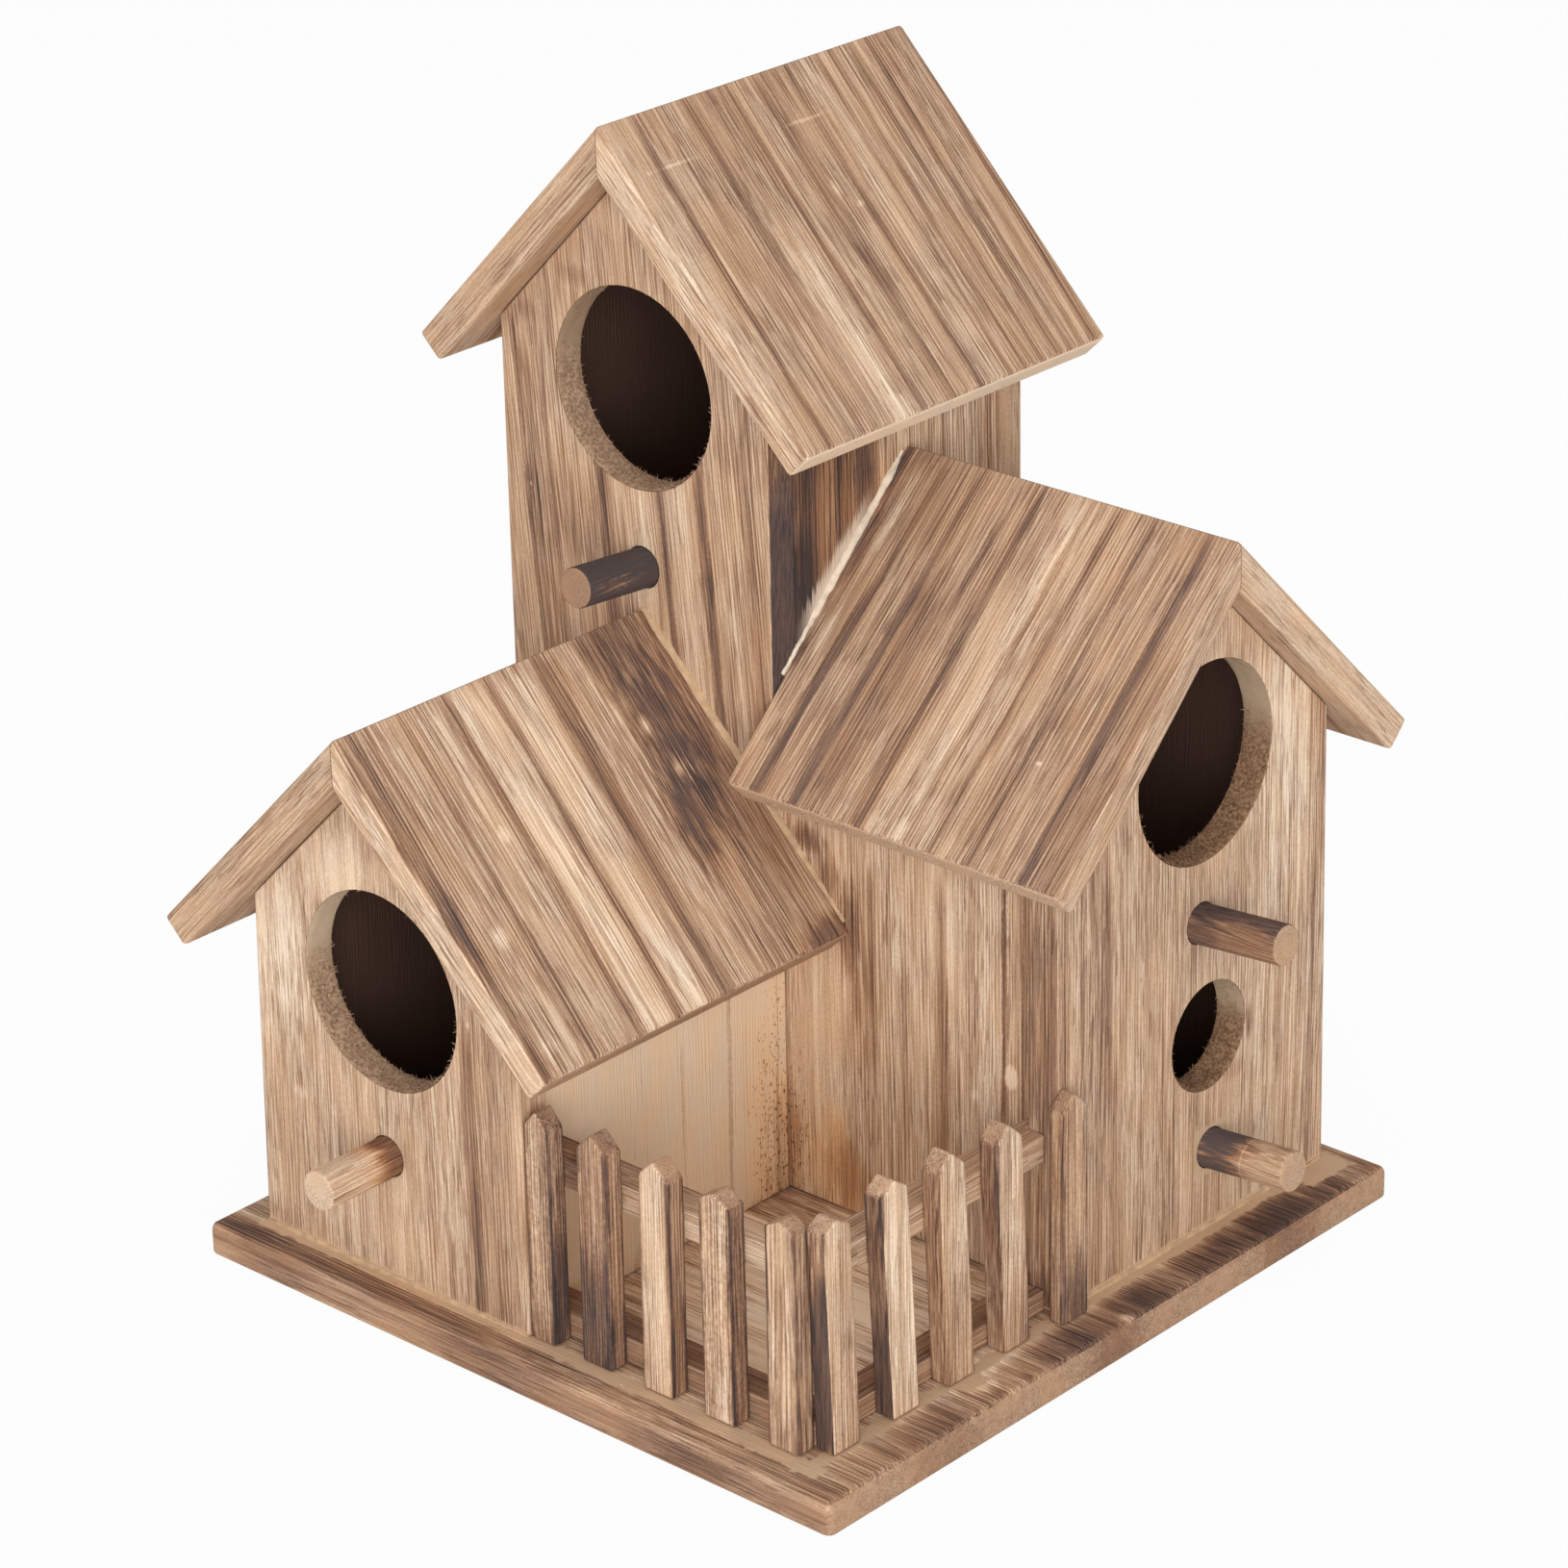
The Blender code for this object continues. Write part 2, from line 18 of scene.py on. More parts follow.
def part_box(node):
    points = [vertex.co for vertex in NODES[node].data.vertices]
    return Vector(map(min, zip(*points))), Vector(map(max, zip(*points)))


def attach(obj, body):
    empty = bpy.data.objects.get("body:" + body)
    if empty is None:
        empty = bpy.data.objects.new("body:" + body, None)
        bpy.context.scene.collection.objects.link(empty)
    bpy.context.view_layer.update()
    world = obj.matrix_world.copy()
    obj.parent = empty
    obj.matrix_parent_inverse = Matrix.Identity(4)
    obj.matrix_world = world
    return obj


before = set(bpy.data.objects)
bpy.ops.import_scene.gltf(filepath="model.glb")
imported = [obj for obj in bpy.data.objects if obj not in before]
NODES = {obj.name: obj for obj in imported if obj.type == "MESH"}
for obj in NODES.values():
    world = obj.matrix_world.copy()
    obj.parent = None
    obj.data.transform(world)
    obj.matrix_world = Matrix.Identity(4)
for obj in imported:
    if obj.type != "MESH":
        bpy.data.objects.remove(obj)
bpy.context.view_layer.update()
MM = 0.001
X, Y, UP = Vector((1, 0, 0)), Vector((0, 1, 0)), Vector((0, 0, 1))
print("pieces in the frame:", len(NODES))


def box(node):
    """A node's low and high corner, in millimetres."""
    return [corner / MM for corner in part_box(node)]


# %% [markdown]
# ## Colours
# Paint is given in the 0 to 255 values of a picture, but a shader wants linear light.
# One function turns the first into the second, so every colour below can be read as the
# colour that should be seen.


# %% Paint
def paint(*picture):
    """A colour as a picture shows it, turned into linear light."""
    return (*(((value / 255 + 0.055) / 1.055) ** 2.4 for value in picture), 1)


# How the wood darkens as the torch dwells on it, from bare to charred: burn, then colour
BURN_COLOURS = (
    (0, 242, 221, 195),
    (0.12, 216, 187, 159),
    (0.24, 191, 158, 129),
    (0.37, 166, 131, 104),
    (0.53, 138, 104, 82),
    (0.73, 102, 76, 62),
    (1, 54, 42, 39),
)
FULL_BURN = 1.25  # the burn at which the last colour is reached
SMOKE_COLOUR = paint(92, 84, 86)
# Painted shade for the inner faces of the houses, where hardly any light falls
PAINTED_INDOOR_SHADE = paint(82, 59, 48)
GLUE_COLOUR = paint(201, 168, 136)
TAN_TINT = (1.05, 0.9, 0.7, 1)  # what heat does to wood that it doesn't char
print("burn colours:", len(BURN_COLOURS))

# %% [markdown]
# ## Sums that build nodes
# A long chain of maths nodes is easier to follow as a sum. A `Value` stands for an output in a
# graph, and adding or multiplying values places the nodes. A `Graph` places every other node:
# an input may be a plain number or a value.


# %% Graphs and values
class Value:
    """An output in a graph, to reckon with."""

    def __init__(self, graph, socket):
        self.graph, self.socket = graph, socket

    def sum(self, operation, other=0):
        return self.graph.get("ShaderNodeMath", {0: self, 1: other}, operation=operation)

    __add__ = partialmethod(sum, "ADD")
    __sub__ = partialmethod(sum, "SUBTRACT")
    __mul__ = partialmethod(sum, "MULTIPLY")
    __truediv__ = partialmethod(sum, "DIVIDE")
    most = partialmethod(sum, "MAXIMUM")
    size = partialmethod(sum, "ABSOLUTE")

    def __rsub__(self, other):
        return self * -1 + other

    def ramp(self, low, high, start=0, end=1):
        """A soft step from start, at low, to end, at high."""
        values = {"Value": self, "From Min": low, "From Max": high, "To Min": start, "To Max": end}
        return self.graph.get("ShaderNodeMapRange", values, interpolation_type="SMOOTHSTEP")


class Graph:
    """A node tree, with short ways to add to it."""

    def __init__(self, tree):
        self.tree = tree

    def fill(self, node, inputs):
        for key, value in inputs.items():
            if isinstance(value, Value):
                self.tree.links.new(value.socket, node.inputs[key])
            else:
                node.inputs[key].default_value = value

    def node(self, kind, inputs=None, **settings):
        made = self.tree.nodes.new(kind)
        for name, value in settings.items():
            setattr(made, name, value)
        self.fill(made, inputs or {})
        return made

    def get(self, kind, inputs=None, output=0, **settings):
        """Adds a node and returns one of its outputs."""
        return Value(self, self.node(kind, inputs, **settings).outputs[output])

    def vector(self, operation, first, second):
        """Vector maths; the second input is a number where a vector is scaled."""
        key = "Scale" if operation == "SCALE" else 1
        return self.get("ShaderNodeVectorMath", {0: first, key: second}, operation=operation)

    def split(self, vector):
        parts = self.node("ShaderNodeSeparateXYZ", {0: vector})
        return [Value(self, output) for output in parts.outputs]

    def noise(self, vector, across, along, detail=2):
        """Noise whose grains measure across, along and across again."""
        scaled = self.vector("MULTIPLY", vector, (1 / across, 1 / along, 1 / across))
        settings = {"Vector": scaled, "Scale": 1, "Detail": detail, "Roughness": 0.55}
        return self.get("ShaderNodeTexNoise", settings, "Fac")

    def mix(self, share, first, second, blend="MIX"):
        """A mix of two colours."""
        inputs = {"Factor": share, 6: first, 7: second}
        return self.get("ShaderNodeMix", inputs, 2, data_type="RGBA", blend_type=blend)

    def close(self, results):
        """Wires a group's results to its outputs."""
        self.fill(self.node("NodeGroupOutput"), results)
        print(self.tree.name, "has", len(self.tree.nodes), "nodes")
        return self.tree


# The sockets of groups that aren't plain numbers
KINDS = {"Board": "Vector", "Color": "Color", "Seed Mesh": "Geometry", "Piece": "Geometry",
    "Material": "Material"}


def group(name, inputs, outputs, kind="ShaderNodeTree"):
    """A new node group; returns its graph and then each of its inputs."""
    tree = bpy.data.node_groups.new(name, kind)
    for way, labels in (("INPUT", inputs), ("OUTPUT", outputs)):
        for label in labels.split(", "):
            socket = "NodeSocket" + KINDS.get(label, "Float")
            tree.interface.new_socket(label, in_out=way, socket_type=socket)
    graph = Graph(tree)
    entry = graph.node("NodeGroupInput")
    return graph, *(Value(graph, entry.outputs[label]) for label in inputs.split(", "))


def new_material(name):
    """A fresh material, its graph and its shader."""
    made = bpy.data.materials.new(name)
    made.use_nodes = True
    return made, Graph(made.node_tree), made.node_tree.nodes["Principled BSDF"]


# %% [markdown]
# ## Grain
# A board's grain is the same pattern stretched very far along the log and hardly at all across
# it. So each material first turns Blender's coordinates into the board's own: millimetres
# across the grain, along it and through the board. Noise squeezed to half a millimetre across
# and more than a centimetre along then looks like growth rings on the faces, and like end
# grain on the sawn ends, with no extra work. A sine whose phase drifts adds the even, parallel
# lines that the brush brings out.


# %% Group: grain
RING_WIDTH = 1.12  # between two brushed lines, in units of the spacing
BOARD_STEP = (31, 57, 13)  # how far apart two boards lie in the pattern


def build_grain():
    graph, board, spacing, wander, lean, seed = group(
        "paulownia grain", "Board, Spacing, Wander, Lean, Seed",
        "Across, Along, Lines, Bands, Pores, Ragged, Patch")
    x, y, _ = graph.split(board)
    other = graph.vector("ADD", board, graph.vector("SCALE", BOARD_STEP, seed))
    drift = (graph.noise(other, 34, 95, 0) - 0.5) * wander
    leaning = y * lean + drift
    frayed = graph.noise(other, 0.8, 20, 1) + graph.noise(other, 0.4, 1.5, 1) - 1
    across = x + leaning + frayed
    moved_x, moved_y, moved_z = graph.split(other)
    squeezed = (moved_x + leaning) / spacing
    depth = moved_z / spacing
    rings = graph.get("ShaderNodeCombineXYZ", {0: squeezed, 1: moved_y, 2: depth})
    fine = graph.noise(rings, 0.5, 20, 0).ramp(0.46, 0.56)
    long_lines = graph.noise(rings, 1.1, 90, 1).ramp(0.4, 0.62)
    flow = (depth * 0.83 + squeezed) * (tau / RING_WIDTH)
    comb = (graph.noise(rings, 2.4, 70, 1) * 14 + flow).sum("SINE").ramp(-0.1, 0.8)
    comb = comb * graph.noise(other, 2.6, 34, 1).ramp(0.34, 0.62, 0.25, 1)
    lines = comb * 0.7 + fine * 0.46 + long_lines * 0.2
    bands = graph.noise(rings, 3.4, 150, 1).ramp(0.3, 0.7)
    patch = graph.noise(other, 8, 24, 1)
    dashes = graph.noise(rings, 0.42, 8, 0).ramp(0.58, 0.64)
    pores = dashes * patch.ramp(0.4, 0.58, 0.25, 1)
    ragged = graph.noise(other, 1.1, 7)
    return graph.close({"Across": across, "Along": y, "Lines": lines, "Bands": bands, "Pores": pores,
        "Ragged": ragged, "Patch": patch})


GRAIN = build_grain()

# %% [markdown]
# ## Scorch marks
# Where the torch lingered or the rings lay close, a board has streaks that run with the grain,
# and here and there a cloud or a knot that doesn't. Both are small groups that take the burn
# so far and add to it, so a board's marks are a chain, in the order in which they are listed.
# Dried glue is a third kind of mark, a ragged rectangle that hides the grain.


# %% Groups: streak, spot and smear
STREAK_KEYS = "Centre, Half Width, Shade, Start, End, Burn"
SPOT_KEYS = "Centre Across, Centre Along, Half Width, Half Length, Burn"
SMEAR_KEYS = "Low Across, High Across, Low Along, High Along, Ragged"
STREAK_FADE = 6  # half the millimetres over which a streak begins or ends


def build_streak():
    """A dark core, and a paler shade that fades out to one side of it."""
    graph, across, along, centre, half, shade, start, end, burn, so_far = group(
        "scorch streak", f"Across, Along, {STREAK_KEYS}, So Far", "Burn")
    off = across - centre
    side = off / shade
    core = (off.size() / half).ramp(0.5, 1.3, 0.8, 0)
    core = core + side.ramp(-0.12, 0.1) * side.ramp(0.1, 1, 0.32, 0)
    begun = (along - start).ramp(-STREAK_FADE, STREAK_FADE)
    ended = (along - end).ramp(-STREAK_FADE, STREAK_FADE, 1, 0)
    return graph.close({"Burn": core * begun * ended * burn + so_far})


def build_spot():
    """An oval with a torn edge."""
    graph, across, along, ragged, patch, middle, height, wide, tall, burn, so_far = group(
        "scorch spot", f"Across, Along, Ragged, Patch, {SPOT_KEYS}, So Far", "Burn")
    off = (across - middle) / wide
    far = (along - height) / tall
    reach = (off * off + far * far).sum("SQRT")
    reach = reach + (ragged - 0.5) * 1.3 + (patch - 0.5) * 0.9
    return graph.close({"Burn": reach.ramp(0.2, 1.25, 1, 0) * burn + so_far})


def build_smear():
    graph, across, along, curdled, left, right, foot, top, ragged, so_far = group(
        "glue smear", f"Across, Along, Curdled, {SMEAR_KEYS}, So Far", "Smear")
    past = (curdled - 0.5) * ragged * 4
    outside = (left - across).most(across - right).most((foot - along).most(along - top))
    mask = (past + outside).ramp(-0.5, 0.5, 1, 0)
    return graph.close({"Smear": mask.most(so_far)})


STREAK, SPOT, SMEAR = build_streak(), build_spot(), build_smear()

# %% [markdown]
# ## From burn to colour
# One group turns the burn into the colour of the wood. The fine lines darken most where the
# board is already brown, as a torch bites the hard rings first. The same values give the
# roughness and the height, because brushing leaves the hard lines a hair proud.


# %% Group: scorched wood
FLECK_DEPTH = 0.22  # how strongly the wood is speckled


def build_scorched():
    inputs = "Board, Burn, Lines, Bands, Pores, Patch, Line Depth, Band Depth, Pore Depth, Smoke"
    graph, *given = group("scorched wood", inputs + ", Tan", "Color, Roughness, Height")
    board, burn, lines, bands, pores, patch, line_depth, band_depth, pore_depth, smoke, tan = given
    bite = burn.ramp(0, 0.6, 0.65, 1) * bands.ramp(0, 1, 0.7, 1.2)
    fleck = graph.noise(board, 0.4, 0.9, 1) - 0.5
    total = burn + (lines - 0.5) * bite * line_depth + (bands - 0.5) * band_depth
    total = total + pores * pore_depth + fleck * FLECK_DEPTH
    colours = graph.node("ShaderNodeValToRGB", {"Fac": total / FULL_BURN})
    stops = colours.color_ramp.elements
    while len(stops) < len(BURN_COLOURS):
        stops.new(0.5)
    for stop, (position, *colour) in zip(stops, BURN_COLOURS):
        stop.position = position
        stop.color = paint(*colour)
    warmth = graph.mix(patch.ramp(0.34, 0.66), (1, 0.95, 0.9, 1), (0.97, 0.98, 1, 1))
    seen = graph.mix(1, Value(graph, colours.outputs["Color"]), warmth, "MULTIPLY")
    seen = graph.mix(tan, seen, TAN_TINT, "MULTIPLY")
    seen = graph.mix(burn.ramp(0.5, 1) * smoke, seen, SMOKE_COLOUR)
    return graph.close({"Color": seen, "Roughness": total.ramp(0, 1, 0.62, 0.85),
        "Height": lines - pores * 0.8})


SCORCHED = build_scorched()

# %% [markdown]
# ## One material for each board
# A board is told which way its grain runs and where its marks lie. Marks are written as the
# board's own millimetres, so a streak at 18 is 18 mm along the world axis that crosses it.

# %% A board and its grain
END_CALM = 0.75  # how far the grain's contrast drops on sawn ends


class Board:
    """One node of the frame, with its material and its grain direction."""

    def __init__(self, node, across, along, origin=(0, 0, 0), base=0.25, lean=0,
                 spacing=0.9, wander=2, lines=0.22, bands=0.1, smoke=0.25, ends=0.06,
                 edge=None, pores=0.2, mottle=0, glue=GLUE_COLOUR):
        self.node = node
        self.material, self.graph, self.shader = new_material(node.replace("_", " "))
        graph = self.graph
        across, along = Vector(across).normalized(), Vector(along).normalized()
        self.through = across.cross(along)
        turn = Matrix((across, along, self.through)).transposed().to_euler()
        spot = graph.get("ShaderNodeTexCoord", output="Object")
        place = {"Vector": spot, "Location": origin, "Rotation": turn, "Scale": (MM, MM, MM)}
        self.board = graph.get("ShaderNodeMapping", place, vector_type="TEXTURE")
        self.at = {axis: part / MM for axis, part in zip("XYZ", graph.split(spot))}
        inputs = {"Board": self.board, "Spacing": spacing, "Wander": wander, "Lean": lean,
            "Seed": float(len(bpy.data.materials))}
        self.grain = graph.node("ShaderNodeGroup", inputs, node_tree=GRAIN)
        end = self.slant(along).size().ramp(0.45, 0.8)
        calm = 1 - end * END_CALM
        self.ends = end * ends
        self.burn = self.ends + base
        self.depths = {"Line Depth": calm * lines, "Band Depth": calm * bands, "Smoke": smoke,
            "Pore Depth": pores}
        self.edge, self.mottle, self.glue = edge, mottle, glue
        self.tan = self.smear = 0

    def take(self, *keys):
        return {key: Value(self.graph, self.grain.outputs[key]) for key in keys}

    def slant(self, direction):
        """The cosine between a face's own normal and a direction."""
        normal = self.graph.get("ShaderNodeTexCoord", output="Normal")
        pair = {0: normal, 1: direction}
        return self.graph.get("ShaderNodeVectorMath", pair, "Value", operation="DOT_PRODUCT")


# %% Marks on a board
class Marked(Board):
    """A board that takes marks; each call may list several."""

    def mark(self, kind, given, keys, marks):
        for values in marks:
            inputs = {**given, **dict(zip(keys.split(", "), values)), "So Far": self.burn}
            self.burn = self.graph.get("ShaderNodeGroup", inputs, node_tree=kind)
        return self

    def streaks(self, *marks):
        """Each mark: centre, half width, side shade, start and end along, burn."""
        return self.mark(STREAK, self.take("Across", "Along"), STREAK_KEYS, marks)

    def spots(self, *marks):
        """Each mark: centre across, centre along, half width, half length, burn."""
        given = self.take("Across", "Along", "Ragged", "Patch")
        return self.mark(SPOT, given, SPOT_KEYS, marks)

    def lined(self, burn, *centres):
        """A few plain dark lines, for a board that the photograph doesn't show."""
        for turn, centre in enumerate(centres):
            self.streaks((centre, 1.5, 5 if turn % 2 else -4, 0, 260, burn))
        return self

    def spot_mask(self, mark, so_far=0):
        """The outline of a spot, for other uses than a burn."""
        burn, self.burn = self.burn, so_far
        mask = self.spots(mark).burn
        self.burn = burn
        return mask

    def calm(self, *marks):
        """Marks as for spots, where the last value is how much of the grain is lost."""
        for mark in marks:
            left = 1 - self.spot_mask(mark)
            for key in ("Line Depth", "Pore Depth"):
                self.depths[key] = left * self.depths[key]
        return self

    def tans(self, *marks):
        """Marks as for spots, where the last value is how strongly the wood is tanned."""
        for mark in marks:
            self.tan = self.spot_mask(mark, self.tan)
        return self

    def specks(self, *marks):
        """Marks as for spots, filled with dark dots."""
        dots = self.graph.noise(self.board, 0.8, 1.2, 1).ramp(0.6, 0.66)
        for mark in marks:
            self.burn = self.spot_mask(mark) * dots + self.burn
        return self


# %% Burnt faces, glue and the finish
RELIEF = 0.1 * MM  # how proud the brushed lines stand
WAVE, SOFT = 8, 5  # how far a burnt face's upper and lower edge spread


class Wood(Marked):
    """A board that can be burnt face by face and glued, and then finished."""

    def facing(self, direction, low, high, burn):
        """Burn on the faces that look along direction, between two heights."""
        wavy = self.take("Bands")["Bands"] * WAVE + self.at["Z"] - WAVE / 2
        mask = wavy.ramp(low - SOFT, low + SOFT) * wavy.ramp(high - WAVE, high + WAVE, 1, 0)
        self.burn = mask * self.slant(direction).ramp(0.6, 0.9) * burn + self.burn
        return self

    def arrises(self, burn):
        """Burn along the upright corners of a stick, and round the rim of its top."""
        near = []
        for axis, low, high in zip("XY", *box(self.node)):
            middle = (low + high) / 2
            near.append((self.at[axis] - middle).size() * -1 + (high - middle))
        ragged = self.take("Ragged")["Ragged"] - 0.5
        rim = near[0].most(near[1]) + ragged * 2
        self.burn = rim.ramp(0, 1.5, burn, 0) + self.burn
        return self

    def smears(self, *marks):
        """Dried glue. Each mark: low and high across, low and high along, raggedness."""
        x, y, _ = self.graph.split(self.board)
        curdled = self.graph.noise(self.board, 3.2, 3.2)
        for mark in marks:
            inputs = {"Across": x, "Along": y, "Curdled": curdled, "So Far": self.smear,
                **dict(zip(SMEAR_KEYS.split(", "), mark))}
            self.smear = self.graph.get("ShaderNodeGroup", inputs, node_tree=SMEAR)
        return self

    def wiped(self, start, end, reach, strength):
        """Glue dragged upward from a slanting line, in the board's own millimetres."""
        x, y, _ = self.graph.split(self.board)
        share = (x - start[0]) / (end[0] - start[0])
        torn = self.graph.noise(self.board, 0.5, 9, 1) - 0.5
        over = y - start[1] - share * (end[1] - start[1]) + torn * 9
        mask = over.ramp(reach - 2, reach + 2, strength, 0)
        mask = mask * share.ramp(0, 0.3) * share.ramp(0.7, 1, 1, 0)
        self.smear = mask.most(self.smear)
        return self

    def inside(self, rooms):
        """1 on what lies inside a house, 0 elsewhere: where the shade is painted."""
        found = 0
        for low, high, ridge_axis, ridge, apex in rooms:
            mask = ((self.at[ridge_axis] - ridge).size() + self.at["Z"]).sum("LESS_THAN", apex)
            for axis, near, far in zip("XY", low, high):
                mask = mask * self.at[axis].sum("GREATER_THAN", near)
                mask = mask * self.at[axis].sum("LESS_THAN", far)
            found = mask.most(found)
        return found

    def finish(self, *rooms):
        """Joins everything up, paints shade on what lies in the rooms and gives the node the material.
        """
        graph = self.graph
        if self.edge is not None:
            flat = self.slant(self.through).size().ramp(0.5, 0.8)
            plain = self.ends + self.edge
            self.burn = (self.burn - plain) * flat + plain
        if self.mottle:
            cloud = graph.noise(self.board, 0.9, 1.2, 1) - 0.5
            self.burn = cloud * self.mottle + self.burn
        inputs = {"Board": self.board, "Burn": self.burn, "Tan": self.tan, **self.depths,
            **self.take("Lines", "Bands", "Pores", "Patch")}
        wood = graph.node("ShaderNodeGroup", inputs, node_tree=SCORCHED)
        seen, rough, height = (Value(graph, output) for output in wood.outputs)
        relief = {"Height": height, "Strength": 0.6, "Distance": RELIEF}
        seen = graph.mix(self.smear, seen, self.glue)
        # Painted shade: what lies inside a house takes the dark indoor colour
        if rooms:
            seen = graph.mix(self.inside(rooms), seen, PAINTED_INDOOR_SHADE)
        graph.fill(self.shader, {"Base Color": seen, "Roughness": rough,
            "Normal": graph.get("ShaderNodeBump", relief), "Specular IOR Level": 0.3})
        for slot in NODES[self.node].material_slots:
            slot.material = self.material
        print(self.node, "has", len(graph.tree.nodes), "nodes")


# %% Rooms
SKIN = 0.4  # how far a room reaches into its walls


def room(left, right, front, back, gable, slope):
    """The inside of a house: low and high corner, then the ridge's axis, place and height."""
    axis = "Y" if slope.startswith("rear") else "X"
    ridge = getattr(box(slope)[1], axis.lower())
    low = box(left)[1].x - SKIN, box(front)[1].y - SKIN
    high = box(right)[0].x + SKIN, box(back)[0].y + SKIN
    return low, high, axis, ridge, box(gable)[1].z


TOWER_ROOM = room("tower_left_wall", "tower_right_wall", "tower_front_wall", "tower_back_wall",
                  "tower_front_wall", "tower_roof_left")
FRONT_ROOM = room("front_house_outer_wall", "front_house_court_wall", "front_house_gable",
                  "tower_front_wall", "front_house_gable", "front_house_roof_left")
REAR_ROOM = room("tower_right_wall", "rear_house_gable", "rear_house_court_wall",
                 "rear_house_back_wall", "rear_house_gable", "rear_house_roof_court")
print("rooms:", TOWER_ROOM, FRONT_ROOM, REAR_ROOM)

# %% [markdown]
# ## Roofs
# The roof panels carry the strongest marks. Their grain runs from the ridge down to the eave,
# so "along" is the fall of the slope, which the frame's own mesh tells us.


# %% Slopes
def roof_wood(node, ridge_axis, **values):
    """Wood for a roof panel; millimetres run along the ridge and down from it."""
    upper = [face for face in NODES[node].data.polygons if face.normal.z > 0.3]
    normal = max(upper, key=lambda face: face.area).normal
    down = normal.cross(ridge_axis).normalized()
    if down.z > 0:
        down = -down
    low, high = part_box(node)
    corner = [low[i] if down[i] > 0 else high[i] for i in range(2)]
    corner[0 if ridge_axis == X else 1] = 0
    return Wood(node, ridge_axis, down, (*corner, high.z), **values)


# %% Front house roof
front_right = roof_wood("front_house_roof_right", Y, base=0.3, lean=0.045, lines=0.46, smoke=0.32,
    edge=0.2, ends=0.16)
front_right.streaks(
    (-98, 3.5, 3, 0, 95, 0.26), (-92.5, 1.2, -3, 0, 48, 0.16), (-81.2, 1.2, -5, 0, 95, 0.24),
    (-73, 3, 3, 0, 95, -0.04), (-66.6, 1.2, -4, 0, 95, 0.26), (-60, 5, 3, 0, 95, -0.2),
    (-53.6, 1.2, -3, 0, 95, 0.24), (-47, 5, 3, 0, 95, -0.2), (-43, 2.4, 3, 50, 95, 0.14),
    (-37.4, 2.6, -3, 0, 95, 0.34), (-12, 14, 3, 0, 95, 0.11),
).spots(
    (-97, 50, 2.5, 12, 0.28), (-13, 4, 17, 22, 0.28), (-11.5, 26, 15, 20, 0.32),
    (-17, 38, 10, 11, 0.26), (-18.5, 47, 9, 12, 0.36), (-23.5, 57, 5, 10, 0.26),
    (-7, 48, 9, 20, 0.2), (-26, 12, 3.5, 8, -0.14), (-24.5, 21, 2.4, 5, -0.22),
    (-18.6, 26, 1.8, 3.4, -0.46), (-16, 38.6, 3, 3, -0.42), (-14.4, 41.5, 1.2, 2, -0.3),
    (-2, 90, 9, 6, 0.4), (-8, 76, 8, 12, 0.08), (-88.6, 57, 3.4, 3.4, -0.26),
    (-72.2, 36, 1.8, 2.4, -0.16), (-92, 84, 4, 3, -0.14),
).finish()
roof_wood("front_house_roof_left", Y, base=0.25, lines=0.3, edge=0.3).finish()

# %% Rear house roof
rear_court = roof_wood("rear_house_roof_court", X, base=0.38, lean=0.036, lines=0.38, smoke=0.5,
    edge=0.3, ends=-0.12)
rear_court.streaks(
    (6.9, 1.2, 3, 0, 36, 0.18), (6.2, 1.7, 2, 36, 95, 0.36), (17.9, 1.2, 6, 0, 34, 0.26),
    (17.7, 1.7, 12, 32, 95, 0.34), (24.5, 4.5, 3, 30, 88, 0.14), (29.6, 1.1, 3, 10, 34, 0.26),
    (36.9, 1.1, -6, 0, 95, 0.26), (41.5, 2.6, 3, 30, 95, -0.1), (44.6, 0.8, 3, 0, 95, 0.08),
    (48, 4.5, 3, 0, 95, -0.18), (51.3, 0.7, -2, 0, 95, 0.2), (55, 3, 2, 0, 95, -0.12),
    (58.6, 0.7, 3, 0, 95, 0.2), (63, 3, 3, 0, 95, -0.06), (69.6, 0.9, 3, 0, 95, 0.24),
    (86, 1.5, -4, 0, 95, 0.34), (92, 5.5, 3, 30, 95, 0.16),
).spots(
    (-5.2, 6, 2, 8, 0.5), (-3.4, 28, 3.2, 15, 0.34), (-3, 55, 2, 8, 0.44),
    (0.8, 20, 2.4, 16, -0.26), (0.8, 50, 1.8, 9, -0.2), (-3, 78, 3, 12, -0.14),
    (73.6, 63.5, 1.2, 0.7, -0.35),
).finish()
roof_wood("rear_house_roof_back", X, base=0.28, edge=0.2).lined(0.25, 12, 30, 47, 66, 80).finish()

